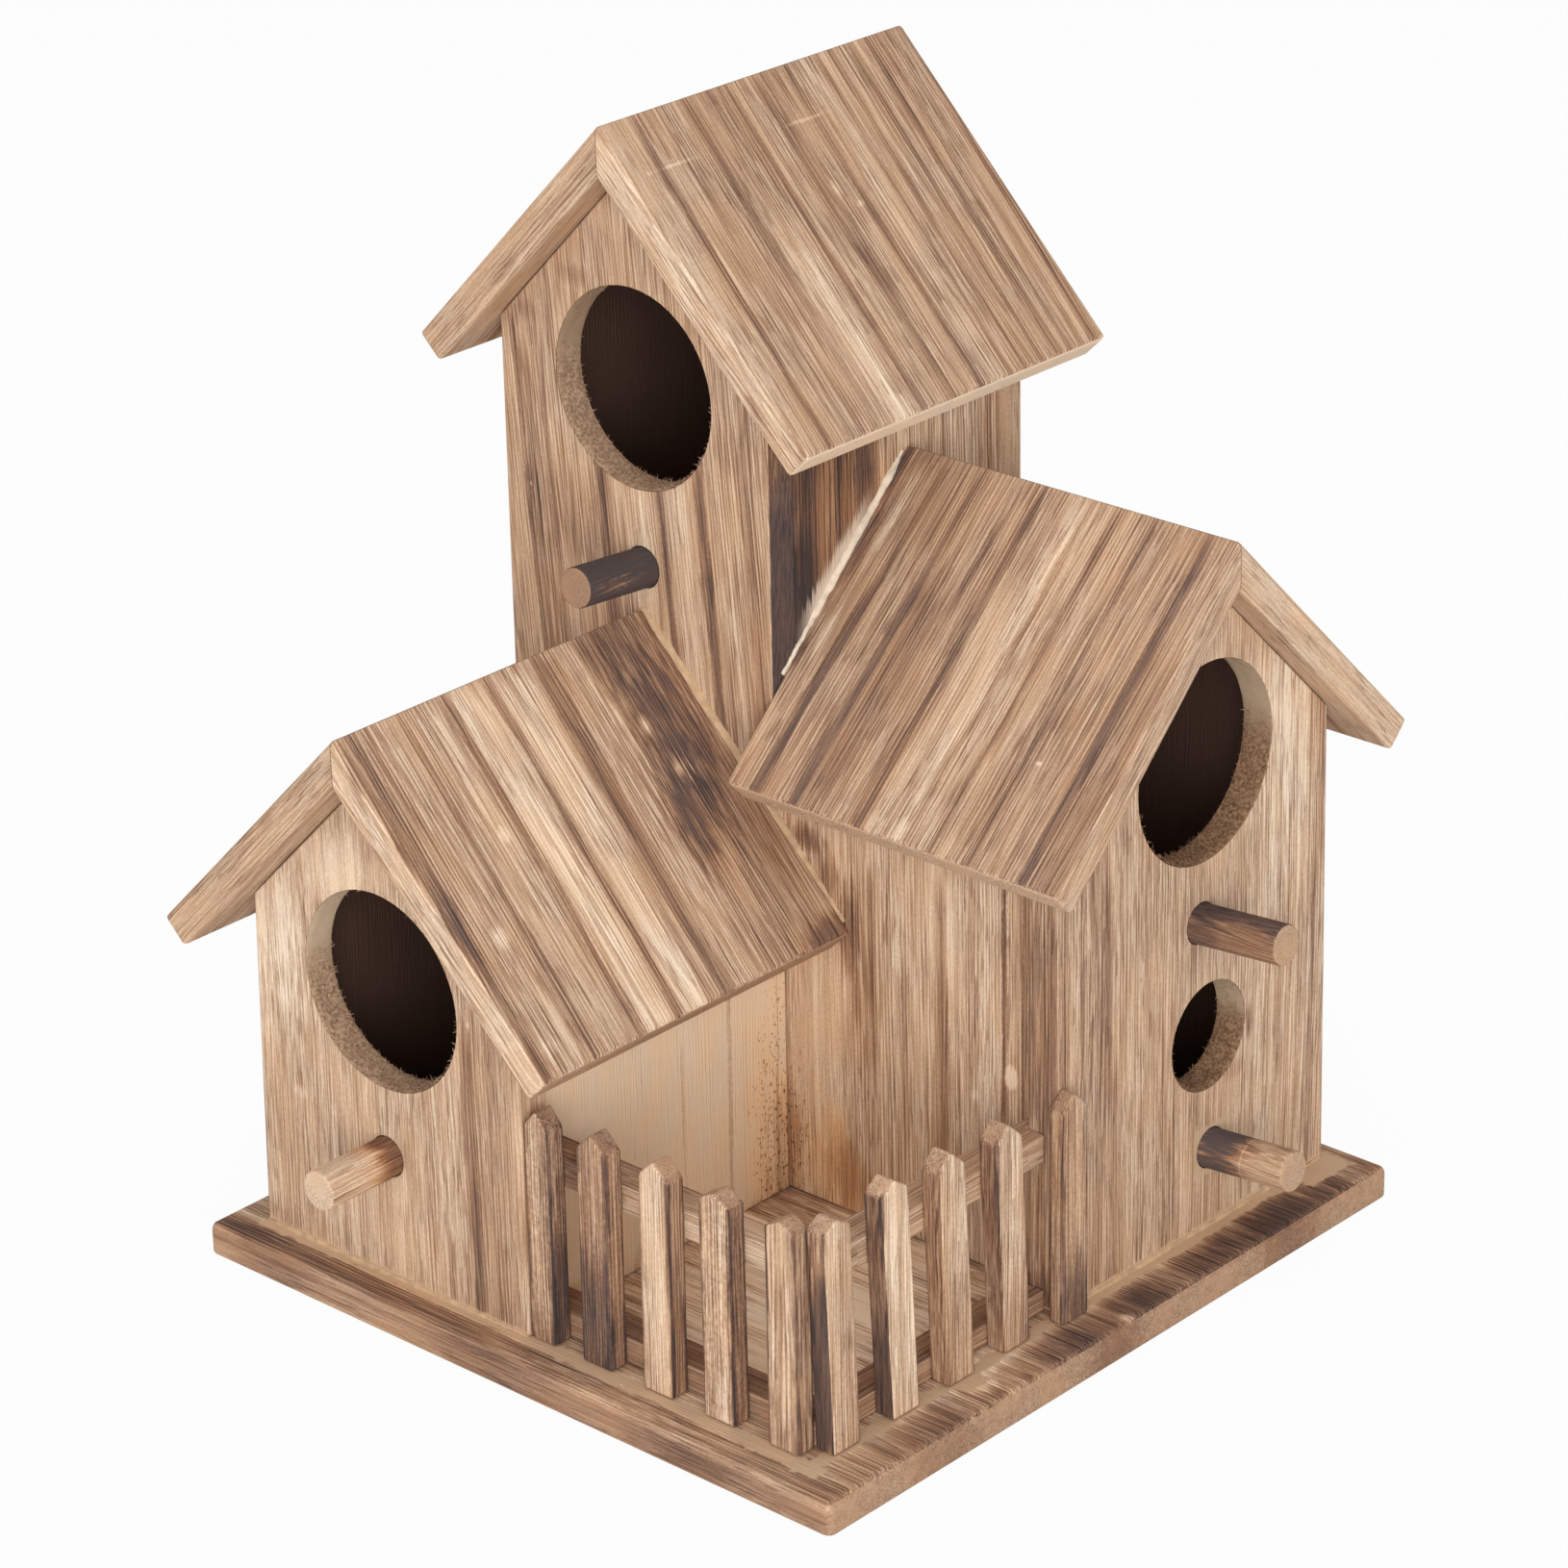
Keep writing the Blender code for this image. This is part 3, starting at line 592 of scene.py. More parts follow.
# %% Tower roof
tower_right = roof_wood("tower_roof_right", Y, base=0.33, lean=0.035, lines=0.4, edge=0.2, ends=-0.3)
tower_right.streaks(
    (-6, 2.5, 3, 0, 95, -0.05), (2.4, 1.1, -3, 0, 95, 0.22), (10.4, 0.8, 3, 0, 95, 0.07),
    (20.2, 1.5, -10, 0, 50, 0.24), (19.6, 1, -4, 46, 95, 0.12), (27, 7, 3, -8, 34, 0.12),
    (27.6, 4.6, 3, 44, 95, -0.16), (34.8, 1.2, -3, 0, 95, 0.28), (45, 2.2, -3, 0, 60, 0.28),
    (44.4, 1.4, 3, 58, 95, 0.18), (50.5, 4, 3, 0, 46, 0.08), (55.3, 1, -3, 0, 95, 0.28),
    (61, 4, 3, 0, 95, -0.07), (66.2, 0.9, -3, 0, 95, 0.22), (71, 0.9, -3, 0, 95, 0.2),
    (77.8, 1, -4, 0, 95, 0.24), (84, 1.2, -4, 0, 95, 0.22), (88, 0.8, -2, 0, 95, 0.18),
    (92.4, 0.9, -3, 0, 95, 0.18), (97.6, 1.3, -3, 0, 95, 0.18),
).spots(
    (7, 14.5, 9, 0.6, -0.2), (51, 14.5, 9, 0.5, -0.18), (49, 33, 1.8, 2.4, -0.2),
    (53.2, 38.5, 1.4, 1.1, -0.2),
).finish()
roof_wood("tower_roof_left", Y, base=0.28, edge=0.3).lined(0.26, 8, 25, 44, 61, 82).finish()

# %% [markdown]
# ## Walls
# The walls stand with their grain upright, so "along" is simply the height above the floor.
# The torch never reached the inside of a house and hardly any light does, so the inner faces
# are given a painted shade, as dark as the openings look.

# %% Tower walls
tower_front = Wood("tower_front_wall", X, UP, base=0.32, lean=0.09, lines=0.42, smoke=0.4)
tower_front.streaks(
    (-76, 2.5, 3, 100, 235, 0.05), (-66.5, 3, 3, 100, 205, 0.12), (-69, 0.9, 2, 100, 215, 0.2),
    (-60.5, 0.9, -3, 100, 200, 0.22), (-43.6, 2.4, -3, 120, 184, 0.28),
    (-31, 3.5, 3, 100, 182, -0.12), (-24.4, 1, -2, 100, 186, 0.4), (-18.5, 3, 3, 100, 186, -0.1),
    (-11.9, 1.7, 2, 100, 190, 0.4), (-4.5, 3, 3, 100, 190, -0.06), (2.4, 2, 2, 100, 200, 0.24),
).spots(
    (-45.5, 228, 5, 3, 0.16), (-63.6, 216, 6, 3, 0.14), (-70, 232, 8, 12, -0.1),
    (-33, 246, 8, 6, -0.12), (-68, 172, 0.5, 0.6, -0.35), (-2, 196, 5, 6, 0.12),
    (-58, 166, 16, 16, 0.12),
).facing(X, 70, 186, 0.72).facing(X, 186, 240, 0.34).finish(TOWER_ROOM, FRONT_ROOM)

tower_side = Wood("tower_right_wall", Y, UP, base=0.3, lines=0.6, smoke=0.2, glue=paint(228, 208, 186))
tower_side.streaks(
    (11, 5, 3, 60, 174, 0.5), (12, 7, 3, 60, 230, 0.28), (1.6, 0.8, 3, 60, 215, 0.16),
    (5.2, 0.7, 3, 60, 215, 0.16), (9.5, 0.7, 3, 60, 215, 0.16), (14.5, 0.8, 3, 60, 215, 0.2),
    (24, 16, 3, 60, 215, 0.43), (24, 0.8, 3, 60, 215, 0.16), (31, 0.9, 3, 60, 215, 0.2),
    (34, 4, 3, 178, 190, 0.2), (60, 14, 3, 60, 230, -0.08), (79, 0.8, -3, 60, 230, 0.2),
    (87, 2.5, 3, 60, 230, 0.08),
).tans((22, 178, 18, 40, 0.6)).wiped((8, 147), (38, 177), 4, 0.85).finish(TOWER_ROOM, REAR_ROOM)
Wood("tower_left_wall", Y, UP, base=0.3).lined(0.22, 12, 34, 52, 76).finish(TOWER_ROOM)
Wood("tower_back_wall", X, UP, base=0.28).lined(0.23, -80, -58, -44, -22).finish(TOWER_ROOM)

# %% Front house walls
front_gable = Wood("front_house_gable", X, UP, base=0.27, lines=0.4, wander=3)
front_gable.streaks(
    (-80, 7, 3, 0, 100, 0.04), (-17.8, 2.2, 3, 0, 82, 0.18), (-12, 9, 3, -10, 86, 0.14),
    (-17.4, 1.8, 3, 0, 44, 0.12), (-9, 3, 3, 0, 80, 0.03), (-55, 8, 3, 104, 140, -0.06),
).spots(
    (-60, 111, 18, 13, -0.13), (-80, 88, 12, 32, -0.26), (-47, 47, 4, 3, -0.08),
    (-42, 34, 4, 6, -0.08), (-76, 48, 3, 2, -0.12), (-16.6, 84, 0.5, 1.4, -0.3),
).calm((-62, 112, 20, 16, 0.7), (-80, 92, 8, 16, 0.5)).smears((-95, 0, 0, 9.6, 0.6)).finish(FRONT_ROOM)

front_court = Wood("front_house_court_wall", Y, UP, base=-0.1, lines=0.2, bands=0.06, pores=0)
front_court.streaks((-52, 2, 3, 0, 62, 0.05), (-36, 0.8, -3, 0, 64, 0.2), (-20.4, 0.7, 2, 0, 80, 0.3),
    (-12, 5, 3, 0, 60, 0.06), (-3.5, 0.6, 1, 0, 100, 0.2))
front_court.spots((-3, 20, 6, 24, 0.26), (-40, 6, 50, 8, 0.16))
front_court.tans((-40, 50, 150, 150, 0.3), (-4, 18, 12, 30, 0.6))
front_court.specks((-5, 20, 9, 30, 0.4), (-3, 44, 7, 50, 0.36)).finish(FRONT_ROOM)
Wood("front_house_outer_wall", Y, UP, base=0.26).lined(0.2, -70, -48, -22).finish(FRONT_ROOM)

# %% Rear house walls
rear_gable = Wood("rear_house_gable", Y, UP, base=0.28, lines=0.42, wander=3, smoke=0.4)
rear_gable.streaks(
    (-4, 2.5, 3, 0, 120, 0.16), (3, 1, 3, 60, 118, 0.16), (8.5, 3, 3, 0, 120, 0.1),
    (12, 1.3, 4, 56, 112, 0.2), (14.5, 1.8, 5, 0, 64, 0.22), (27, 5, 3, 0, 112, 0.03),
    (32.5, 1.2, 3, 0, 62, 0.14), (62, 1, 2, 80, 140, 0.08), (66.5, 0.9, 2, 0, 132, 0.12),
    (71, 0.8, 2, 0, 126, 0.12), (75.6, 0.9, 2, 0, 122, 0.16), (80, 0.9, 2, 0, 116, 0.16),
    (84.4, 1, 2, 0, 106, 0.18), (89.5, 1, 3, 0, 90, 0.2), (76, 14, 3, 0, 150, -0.1),
    (78, 9, 3, 84, 150, -0.12),
).spots((65, 58, 1.8, 7, 0.34), (60, 47, 5, 3, 0.14), (-4.5, 14, 2, 8, 0.45)).facing(-Y, 56, 110, 0.26)
rear_gable.smears((-10, 100, 0, 9.8, 0.7), (45, 57, 22.5, 35.5, 0.5)).finish(REAR_ROOM)

rear_wall = Wood("rear_house_court_wall", X, UP, base=0.2, lines=0.44)
rear_wall.streaks(
    (5, 9, 3, 0, 78, -0.14), (20.5, 3.5, 3, 46, 100, 0.12), (17.5, 0.9, 2, 60, 96, 0.22),
    (23.4, 0.9, 2, 50, 100, 0.18), (33, 1, 3, 34, 80, 0.14), (43.8, 2, 2, 30, 104, 0.26),
    (45.6, 0.8, 2, 34, 80, 0.18), (53, 0.8, 2, 50, 110, 0.1), (63.5, 0.9, -2, 48, 112, 0.46),
    (69.8, 1, -2, 50, 112, 0.34), (74.5, 2.2, 3, 56, 112, -0.08),
).spots(
    (9, 94, 6, 11, 0.36), (4, 104, 6, 4, 0.44), (17, 84, 4, 12, 0.26), (15, 19, 8, 11, 0.18),
    (25, 74, 5, 10, 0.1), (-2, 24, 3, 16, 0.14), (65.3, 61.5, 2.3, 3, -0.5),
    (54.6, 53, 1.8, 2.4, -0.14), (47, 92, 7, 18, -0.1),
).calm((4, 50, 11, 40, 0.8), (47, 92, 7, 18, 0.6))
rear_wall.tans((8, 16, 16, 22, 0.9), (2, 60, 16, 60, 0.3)).specks((-2, 24, 6, 30, 0.35))
rear_wall.finish(REAR_ROOM)
Wood("rear_house_back_wall", X, UP, base=0.28).lined(0.2, 8, 26, 44, 63).finish(REAR_ROOM)

# %% [markdown]
# ## Base board
# The base lies with its grain from left to right. It was scorched hardest along its rim, and
# glue has been wiped along the feet of the walls, which kept the wood pale there.

# %% Base board
base_wood = Wood("base_board", Y, X, base=0.4, lines=0.46, bands=0.24, wander=1.2, edge=0.41,
    ends=-0.03, smoke=0.1)
# Stains on the board's right and front edges, marked as spots
for stain in ((64, 103, 13, 9, 0.24), (-3, 103, 15, 9, 0.24), (-62, 103, 14, 9, 0.14),
              (-103, -75, 8, 16, 0.18), (-103, -5, 8, 22, 0.16), (-103, 60, 8, 20, 0.18)):
    base_wood.edge = base_wood.spot_mask(stain, base_wood.edge)
base_wood.streaks((-99.5, 3.2, 2, -110, -10, 0.34), (-99.5, 3.2, 2, -10, 110, 0.16),
    (-94, 1.6, 2, -110, -2, -0.16), (-93.5, 1.4, 2, -4, 110, -0.1))
base_wood.spots(
    (10, 97, 120, 10, 0.2), (66, 97, 26, 12, 0.4), (36, 97, 13, 12, 0.18),
    (14, 97, 11, 12, 0.36), (3.6, 98, 2, 2.4, -0.5), (-13, 97, 12, 12, 0.3),
    (-42, 92, 5, 4, -0.34), (-66, 97, 16, 12, 0.2), (-100, -88, 4, 9, 0.2),
    (0, 87.5, 95, 3.2, -0.2), (-45, 40, 60, 60, -0.44),
).smears(
    (-95.2, -91, -90, 86, 1), (-96.5, -91, 70, 90, 1), (-94, 98, 84, 88.2, 1),
    (-46, -38, 84, 92, 1.4), (82, 98, 84, 93, 1.2),
)
# The sawn front edge shows the brushed lines less
soften = base_wood.slant(-Y).ramp(0.6, 0.9, 1, 0.35)
base_wood.depths["Line Depth"] = soften * base_wood.depths["Line Depth"]
base_wood.finish(TOWER_ROOM, FRONT_ROOM, REAR_ROOM)

# %% [markdown]
# ## Perches and fence
# The dowels were scorched at the root, where the torch played on the gable. Each picket is a
# stick from another offcut, so each has its own tone, and its two visible faces differ.


# %% Perches
def perch_wood(node, direction, **values):
    """Wood for a dowel; across is measured from its axis, along from the frame's middle."""
    low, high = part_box(node)
    middle = (low + high) / 2
    origin = middle - direction * middle.dot(direction)
    return Wood(node, direction.cross(UP), direction, tuple(origin), spacing=0.8, **values)


front_perch = perch_wood("front_house_perch", -Y, base=0.17, lines=0.36, ends=-0.02)
front_perch.spots((-2, 94, 7, 6, 0.6), (3, 100, 5, 7, 0.2)).tans((0, 95, 9, 9, 1)).finish()
tower_perch = perch_wood("tower_perch", -Y, base=1.2, lines=0.16, smoke=0.45, ends=-0.72)
tower_perch.spots((-4.8, 14, 0.7, 10, -0.6), (0, 24.8, 9, 1.2, -0.4)).finish()
rear_perch = perch_wood("rear_house_perch", X, base=0.6, lines=0.4, smoke=0.3, ends=-0.28)
rear_perch.spots((0, 88, 9, 7, 0.3)).facing(UP, 60, 120, 0.3).finish()
low_perch = perch_wood("rear_house_low_perch", X, base=0.32, lines=0.4, smoke=0.7, ends=-0.02)
low_perch.spots((0, 89, 9, 9, 0.8), (0, 97.4, 9, 0.3, -0.22)).finish()

# %% Pickets and rails
PICKET_FOOT = 5  # height at which the burn of a picket's face begins
# For each picket of a row: burn, blotches, spacing of the grain, and for some of its faces
# the height and the strength of a burn
PICKETS = {
    "front": (
        (0.34, 0.45, 0.8, ((-Y, 14, 0.3), (X, 75, 0.16), (X, 34, 0.5))),
        (0.44, 0.35, 0.8, ((-Y, 38, 0.36), (X, 24, 0.24))),
        (0.25, 0.1, 0.8, ((X, 75, 0.18), (X, 34, 0.2))),
        (0.27, 0.45, 0.8, ((X, 75, 0.36),)),
        (0.27, 0.15, 1.3, ((X, 75, 0.1), (-Y, 16, 0.15))),
    ),
    "side": (
        (0.24, 0.15, 0.9, ((-Y, 75, 0.26), (-Y, 50, 0.56))),
        (0.18, 0.1, 0.9, ((-Y, 75, 0.5), (-Y, 30, 0.3))),
        (0.2, 0.15, 0.8, ((-Y, 75, 0.24), (X, 34, 0.14))),
        (0.2, 0.15, 0.8, ((-Y, 75, 0.4), (X, 24, 0.12))),
        (0.34, 0.25, 0.8, ((-Y, 75, 0.1), (X, 24, 0.4))),
    ),
}
for row, sticks in PICKETS.items():
    for number, (base, mottle, spacing, faces) in enumerate(sticks, 1):
        stick = Wood(f"{row}_picket_{number}", X if row == "front" else Y, UP, base=base, lines=0.42,
            spacing=spacing, bands=0.24, smoke=0.22, ends=0.14, mottle=mottle)
        for direction, height, burn in faces:
            stick.facing(direction, PICKET_FOOT, height, burn)
        stick.arrises(0.46).finish()

for node, base in (("front_upper_rail", 0.44), ("front_lower_rail", 0.6),
                   ("side_upper_rail", 0.42), ("side_lower_rail", 0.58)):
    along, outward = (X, -Y) if node.startswith("front") else (Y, X)
    rail = Wood(node, UP, along, base=base, lines=0.3)
    rail.facing(outward, 0, 75, -0.16)
    if node == "front_upper_rail":
        rail.spots((51, 10, 9, 6, 0.4), (51, 60, 9, 30, -0.2))
    rail.finish()

# %% [markdown]
# ## Glue
# The maker runs a bead of wood glue mixed with sawdust into the corners and wipes it with a
# finger. A bead is a path swept by a circle whose size wanders, half sunk in the corner. One
# Geometry Nodes group makes every bead, and its mesh is then kept as a plain piece.


# %% Group: glue bead
def build_bead():
    graph, path, radius, ragged, seed, material = group(
        "glue bead", "Seed Mesh, Radius, Ragged, Seed, Material", "Piece", "GeometryNodeTree")
    curve = graph.get("GeometryNodeMeshToCurve", {0: path})
    curve = graph.get("GeometryNodeResampleCurve", {"Curve": curve, "Length": 0.5 * MM}, mode="LENGTH")
    offset = graph.vector("SCALE", (0.37, 0.51, 0.23), seed)
    here = graph.vector("ADD", graph.get("GeometryNodeInputPosition"), offset)
    rough = graph.get("ShaderNodeTexNoise", {"Vector": here, "Scale": 160, "Detail": 3}, "Fac")
    share = graph.get("GeometryNodeSplineParameter", output="Factor")
    size = ((rough - 0.5) * ragged + 1) * radius
    size = size * share.ramp(0, 0.1, 0.4, 1) * share.ramp(0.6, 1, 1, 0.5)
    circle = graph.get("GeometryNodeCurvePrimitiveCircle", {"Resolution": 10, "Radius": 1})
    swept = {"Curve": curve, "Profile Curve": circle, "Scale": size, "Fill Caps": True}
    bead = graph.get("GeometryNodeCurveToMesh", swept)
    shake = graph.get("ShaderNodeTexNoise", {"Vector": here, "Scale": 420, "Detail": 2}, "Color")
    shake = graph.vector("SUBTRACT", shake, (0.5, 0.5, 0.5))
    shake = graph.vector("SCALE", shake, radius * ragged)
    bead = graph.get("GeometryNodeSetPosition", {"Geometry": bead, "Offset": shake})
    bead = graph.get("GeometryNodeSetShadeSmooth", {"Geometry": bead})
    bead = graph.get("GeometryNodeSetMaterial", {0: bead, "Material": material})
    return graph.close({"Piece": bead})


BEAD = build_bead()


# %% Pieces made by a group
def link(thing):
    bpy.context.scene.collection.objects.link(thing)
    return thing


def keep(name, seed_mesh, tree, values):
    """Runs a geometry group on a seed mesh and keeps the result as a plain piece."""
    seed = link(bpy.data.objects.new("seed", seed_mesh))
    modifier = seed.modifiers.new("make", "NODES")
    modifier.node_group = tree
    for item in tree.interface.items_tree:
        if item.in_out == "INPUT" and item.name in values:
            modifier[item.identifier] = values[item.name]
    graph = bpy.context.evaluated_depsgraph_get()
    mesh = bpy.data.meshes.new_from_object(seed.evaluated_get(graph), depsgraph=graph)
    bpy.data.objects.remove(seed)
    mesh.name = name
    piece = link(bpy.data.objects.new(name, mesh))
    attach(piece, "root")
    print(name, len(mesh.polygons), "faces")


def glue_material(name, colour):
    """Sawdust glue: dull, a little mottled."""
    material, graph, shader = new_material(name)
    spot = graph.get("ShaderNodeTexCoord", output="Object")
    cloud = graph.noise(spot, 3 * MM, 3 * MM, 3).ramp(0.3, 0.7)
    dark = (*(channel * 0.72 for channel in colour[:3]), 1)
    relief = {"Height": graph.noise(spot, 0.4 * MM, 0.4 * MM), "Strength": 0.5, "Distance": 0.15 * MM}
    graph.fill(shader, {"Base Color": graph.mix(cloud, dark, colour), "Roughness": 0.7,
        "Normal": graph.get("ShaderNodeBump", relief)})
    return material


TAN_GLUE = glue_material("tan glue", paint(205, 170, 132))
CREAM_GLUE = glue_material("cream glue", paint(240, 222, 198))

# %% Beads
TOWER_FACE = box("tower_front_wall")[0].y
TOWER_SIDE = box("tower_right_wall")[1].x
FLOOR_TOP = box("base_board")[1].z
GABLE_FACE = box("front_house_gable")[0].y
REAR_FACE = box("rear_house_gable")[1].x
# How deep the middle of a bead lies in the wall: front roof, rear roof, feet
FRONT_SUNK, REAR_SUNK, FOOT_SUNK = 0.4, 0.1, 0.2
FRONT_FALL, REAR_FALL = 1.012, 0.99  # fall of each roof for a millimetre outward

ridge = box("front_house_roof_left")[1]
bead_y, top = TOWER_FACE + FRONT_SUNK, ridge.z - 0.6
front_run = box("front_house_roof_right")[1].x - 2 - ridge.x
FRONT_PATH = ((ridge.x - 3, bead_y, ridge.z - 3.2), (ridge.x, bead_y, top),
    (ridge.x + front_run, bead_y, top - FRONT_FALL * front_run))
ridge = box("rear_house_roof_court")[1] - Vector((0, 1, 1))
bead_x = TOWER_SIDE - REAR_SUNK
rear_run = ridge.y - TOWER_FACE - 3.4
REAR_PATH = ((bead_x, ridge.y, ridge.z), (bead_x, ridge.y - rear_run, ridge.z - REAR_FALL * rear_run))
FRONT_FOOT = [(x, GABLE_FACE + FOOT_SUNK, FLOOR_TOP) for x in (-89, -2)]
REAR_FOOT = [(REAR_FACE - FOOT_SUNK, y, FLOOR_TOP) for y in (-6, 95)]
# Each bead: material, radius, raggedness, slot of the pieces it sits on, path
BEADS = {
    "roof_glue_front": (TAN_GLUE, 1.9, 0.5, "roof_wood", FRONT_PATH),
    "roof_glue_rear": (CREAM_GLUE, 1.2, 0.9, "roof_wood", REAR_PATH),
    "foot_glue_front": (TAN_GLUE, 0.9, 0.9, "base_wood", FRONT_FOOT),
    "foot_glue_rear": (TAN_GLUE, 0.9, 0.9, "base_wood", REAR_FOOT),
}
for seed, (name, (material, radius, ragged, slot, path)) in enumerate(BEADS.items()):
    mesh = bpy.data.meshes.new("path")
    edges = [(i, i + 1) for i in range(len(path) - 1)]
    mesh.from_pydata([Vector(point) * MM for point in path], edges, [])
    keep(name, mesh, BEAD, {"Radius": radius * MM, "Ragged": ragged, "Seed": float(seed),
        "Material": material})

# %% [markdown]
# ## Torn wood in the entrances
# A hole cutter tears soft paulownia where it meets the grain end on, so the bored wall is
# furred with short fibres. Points are scattered on a sleeve just inside the bore and each
# gets a thin bent hair, thick at the root. The sleeve itself is a little lumpy.


# %% Entrance sleeves
RINGS, STEPS = 9, 160  # points along a sleeve and round it
INSET, LUMPS, BITS = 0.3, 0.22, 0.16  # how far it stands in from the bore, and its bumps
END_SHARE = 0.4  # how much of all that there is at a sleeve's two ends


def sleeve_mesh(centre, axis, radius, depth, seed):
    """A lumpy tube lining a bore, from the board's outer face inward."""
    built = bmesh.new()
    side = UP.cross(axis).normalized()
    rows, drops = [], []
    for ring in range(RINGS):
        inward = depth * ring / (RINGS - 1)
        row = []
        for step in range(STEPS):
            spoke = side * cos(tau * step / STEPS) + UP * sin(tau * step / STEPS)
            spot = centre + spoke * radius - axis * inward
            lump = noise.noise(spot * 0.45 + Vector((seed, 0, 0)))
            grain = noise.noise(spot * 1.6 + Vector((0, seed, 0)))
            shrink = INSET + LUMPS * lump + BITS * grain
            if ring in (0, RINGS - 1):
                shrink *= END_SHARE
            row.append(built.verts.new((spot - spoke * shrink) * MM))
            drops.append(0.5 - 0.5 * spoke.z)
        rows.append(row)
    for first, second in zip(rows, rows[1:]):
        for step in range(STEPS):
            after = (step + 1) % STEPS
            built.faces.new((first[step], first[after], second[after], second[step]))
    built.normal_update()
    for face in built.faces:
        face.smooth = True
        if face.normal.dot(face.calc_center_median() - centre * MM) > 0:
            face.normal_flip()
    mesh = bpy.data.meshes.new("sleeve")
    built.to_mesh(mesh)
    built.free()
    mesh.attributes.new("drop", "FLOAT", "POINT").data.foreach_set("value", drops)
    return mesh


# %% Group: torn fibres
def build_fur():
    graph, sleeve, density, length, thickness, seed, material = group(
        "torn fibres", "Seed Mesh, Density, Length, Thickness, Seed, Material", "Piece",
        "GeometryNodeTree")
    drop = graph.get("GeometryNodeInputNamedAttribute", {"Name": "drop"}, "Attribute", data_type="FLOAT")
    here = graph.get("GeometryNodeInputPosition")
    clumps = graph.get("ShaderNodeTexNoise", {"Vector": here, "Scale": 900, "Detail": 1}, "Fac")
    thick = drop.ramp(0.35, 0.6, 0.04, 1) * clumps.ramp(0.4, 0.58, 0.15, 1)
    scatter = graph.node("GeometryNodeDistributePointsOnFaces",
        {"Mesh": sleeve, "Density": thick * density, "Seed": seed})
    points, turn = (Value(graph, scatter.outputs[key]) for key in ("Points", "Rotation"))
    bent = {"Resolution": 3, "Start": (0, 0, 0), "Start Handle": (0, 0, 0.4),
            "End Handle": (0.25, 0, 0.8), "End": (0.55, 0, 1)}
    hair = graph.get("GeometryNodeCurvePrimitiveBezierSegment", bent)
    share = graph.get("GeometryNodeSplineParameter", output="Factor")
    slim = (1 - share * 0.75) * thickness
    circle = graph.get("GeometryNodeCurvePrimitiveCircle", {"Resolution": 3, "Radius": 1})
    strand = {"Curve": hair, "Profile Curve": circle, "Scale": slim}
    strand = graph.get("GeometryNodeCurveToMesh", strand)
    limits = {0: (-0.9, -0.9, -3.1), 1: (0.9, 0.9, 3.1), "Seed": seed}
    lean = graph.get("FunctionNodeRandomValue", limits, data_type="FLOAT_VECTOR")
    turn = graph.get("FunctionNodeRotateRotation", {0: turn, 1: lean}, rotation_space="LOCAL")
    size = graph.get("FunctionNodeRandomValue", {2: 0.35, 3: 1, "Seed": seed}, 1, data_type="FLOAT")
    hairs = {"Points": points, "Instance": strand, "Rotation": turn, "Scale": size * length}
    fibres = graph.get("GeometryNodeInstanceOnPoints", hairs)
    fibres = graph.get("GeometryNodeRealizeInstances", {"Geometry": fibres})
    joined = graph.node("GeometryNodeJoinGeometry", {"Geometry": fibres})
    graph.fill(joined, {"Geometry": sleeve})
    joined = Value(graph, joined.outputs[0])
    piece = graph.get("GeometryNodeSetMaterial", {0: joined, "Material": material})
    return graph.close({"Piece": piece})


FUR = build_fur()


# %% Torn wood material
def torn_material(name, dark, light, smooth):
    """Matted fibres in the lower half of a bore, smooth wood above."""
    material, graph, shader = new_material(name)
    spot = graph.get("ShaderNodeTexCoord", output="Object")
    tufts = graph.noise(spot, 0.8 * MM, 0.8 * MM).ramp(0.3, 0.7)
    drop = graph.get("ShaderNodeAttribute", output="Fac", attribute_name="drop")
    lower = (tufts * 0.1 + drop).ramp(0.36, 0.66)
    graph.fill(shader, {"Base Color": graph.mix(lower, smooth, graph.mix(tufts, dark, light)),
        "Roughness": 0.9, "Specular IOR Level": 0.1})
    return material


TUFTS = paint(150, 119, 94), paint(204, 172, 142)
PALE_FIBRES = torn_material("pale torn wood", *TUFTS, paint(212, 187, 158))
# A copy of the pale torn wood whose smooth upper part is darker: painted shade, for the tower's bore
SHADED_FIBRES = torn_material("shaded torn wood", *TUFTS, paint(176, 147, 120))
BROWN_FIBRES = torn_material("brown torn wood", paint(120, 89, 66), paint(176, 141, 110),
    paint(190, 164, 136))

# %% Linings
BOARD = 8.4  # thickness of the bored boards
SEAT = 0.1  # the sleeve stays this far inside both faces
FUR_VALUES = {"Density": 2.4e6, "Length": 1.3 * MM, "Thickness": 0.12}
# Each entrance: centre on the board's outer face, way out, radius, wood
ENTRANCES = {
    "front_entrance_lining": ((-45.75, GABLE_FACE, 83.4), -Y, 25, PALE_FIBRES),
    "tower_entrance_lining": ((-48.75, TOWER_FACE, 203.9), -Y, 25, SHADED_FIBRES),
    "rear_entrance_lining": ((REAR_FACE, 47.3, 130.3), X, 25, BROWN_FIBRES),
    "rear_small_entrance_lining": ((REAR_FACE, 49.8, 59.3), X, 14, BROWN_FIBRES),
}
for seed, (name, (centre, axis, radius, fibres)) in enumerate(ENTRANCES.items()):
    start = Vector(centre) - axis * SEAT
    mesh = sleeve_mesh(start, axis, radius, BOARD - 2 * SEAT, float(seed))
    keep(name, mesh, FUR, {**FUR_VALUES, "Seed": float(seed), "Material": fibres})

# %% [markdown]
# ## Studio
# The box stands on a white sweep under soft light. The floor shows itself white to the camera
# but still catches a faint shadow.

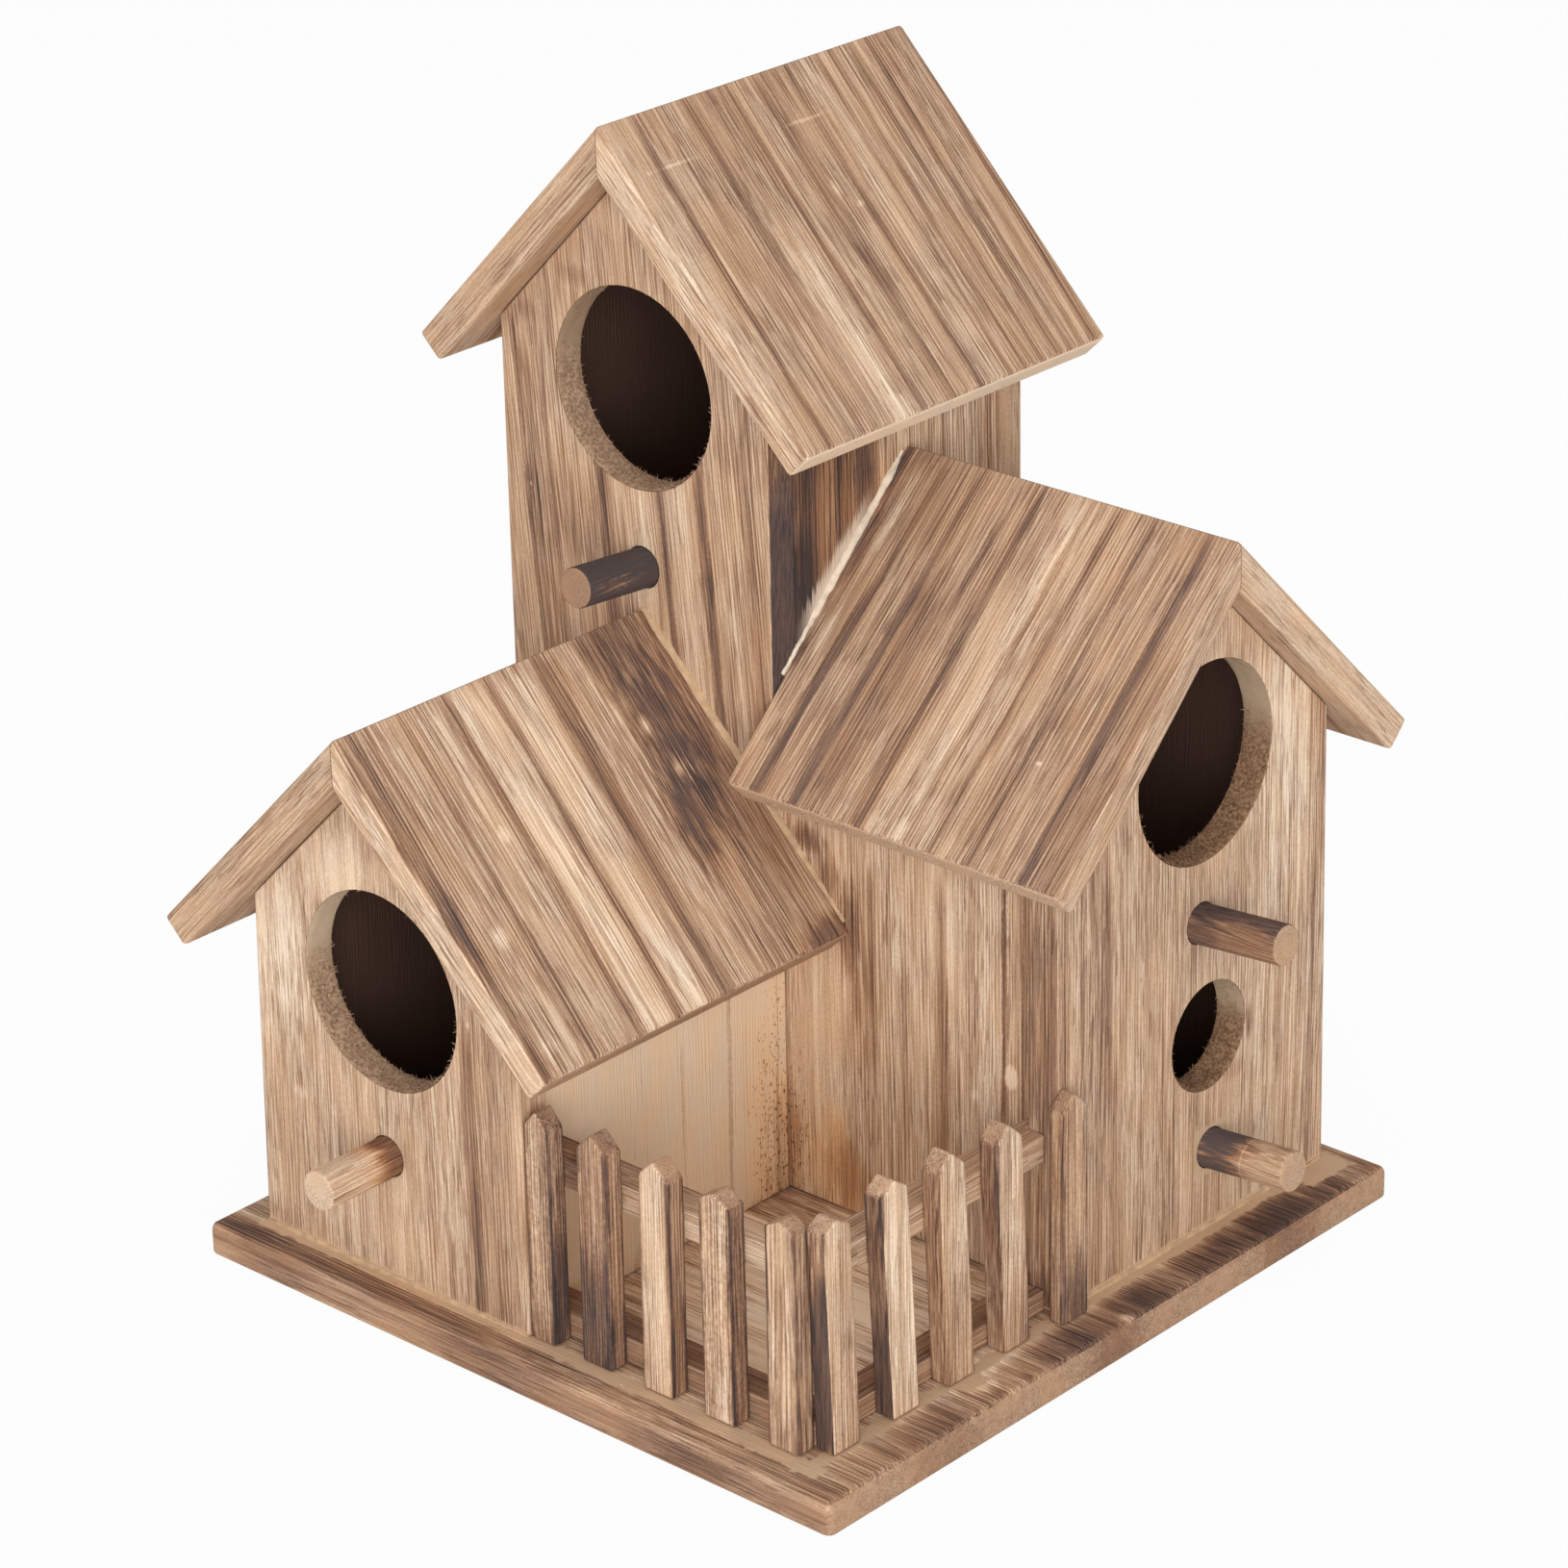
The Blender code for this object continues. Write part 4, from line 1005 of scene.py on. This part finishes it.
# %% Floor
HALF = 3  # half the width of the sweep, in metres
FLOOR_GLOW = 0.95  # how white the floor shows itself to the camera
mesh = bpy.data.meshes.new("floor")
corners = [(-HALF, -HALF, 0), (HALF, -HALF, 0), (HALF, HALF, 0), (-HALF, HALF, 0)]
mesh.from_pydata(corners, [], [(0, 1, 2, 3)])
floor = link(bpy.data.objects.new("floor", mesh))
paper, graph, shader = new_material("white paper")
graph.fill(shader, {"Base Color": (0.8, 0.8, 0.8, 1), "Roughness": 0.9})
glow = graph.get("ShaderNodeEmission", {"Color": (1, 1, 1, 1), "Strength": 1})
seen = graph.get("ShaderNodeLightPath", output="Is Camera Ray") * FLOOR_GLOW
mixed = graph.get("ShaderNodeMixShader", {0: seen, 1: Value(graph, shader.outputs[0]), 2: glow})
graph.fill(graph.tree.nodes["Material Output"], {"Surface": mixed})
mesh.materials.append(paper)
print("floor width in metres:", 2 * HALF)

# %% Light
SKY_LEVEL = 0.55  # strength of the sky as a light; it looks white
world = bpy.data.worlds.new("studio")
bpy.context.scene.world = world
world.use_nodes = True
graph = Graph(world.node_tree)
seen = graph.get("ShaderNodeLightPath", output="Is Camera Ray")
sky = {"Strength": seen * (1 - SKY_LEVEL) + SKY_LEVEL, "Color": (1, 1, 1, 1)}
graph.fill(world.node_tree.nodes["Background"], sky)

AIM = Vector((0, 0, 0.1))  # all lamps point at the middle of the tower
# Each lamp: place, size and power
LAMPS = {
    "top light": ((0.2, -0.3, 1.8), 1.4, 7),
    "front light": ((1.65, -1.6, 0.5), 1.8, 46),
    "left light": ((-0.9, -1.8, 0.9), 1.2, 5),
}
for name, (spot, size, power) in LAMPS.items():
    lamp = bpy.data.lights.new(name, "AREA")
    lamp.size = size
    lamp.energy = power
    stand = link(bpy.data.objects.new(name, lamp))
    stand.location = spot
    stand.rotation_euler = (AIM - Vector(spot)).to_track_quat("-Z", "Y").to_euler()
print("lamps:", *LAMPS)

# %% [markdown]
# ## Camera
# A long lens from the front right corner, a little above the roofs, slightly rolled as the
# hand that held it.

# %% Camera
PICTURE = 1630  # pixels along each side of the photograph
FOCAL = 5596.9  # focal length in those pixels
DISTANCE = 1257.88 * MM
AZIMUTH, ELEVATION, ROLL = radians(42.458), radians(24.083), radians(-1.157)
TARGET = Vector((0, -3.37, 118.2)) * MM

back = Vector((sin(AZIMUTH) * cos(ELEVATION), -cos(AZIMUTH) * cos(ELEVATION), sin(ELEVATION)))
level_right = Vector((cos(AZIMUTH), sin(AZIMUTH), 0))
level_up = back.cross(level_right)
right = level_right * cos(ROLL) + level_up * sin(ROLL)
up = level_up * cos(ROLL) - level_right * sin(ROLL)
lens = bpy.data.cameras.new("camera")
lens.sensor_width = 36
lens.lens = lens.sensor_width * FOCAL / PICTURE
lens.clip_end = 20
camera = link(bpy.data.objects.new("camera", lens))
turned = Matrix((right, up, back)).transposed().to_4x4()
camera.matrix_world = Matrix.Translation(TARGET + back * DISTANCE) @ turned
bpy.context.scene.camera = camera
bpy.context.scene.view_settings.view_transform = "Standard"
print("focal length in millimetres:", round(lens.lens, 1))
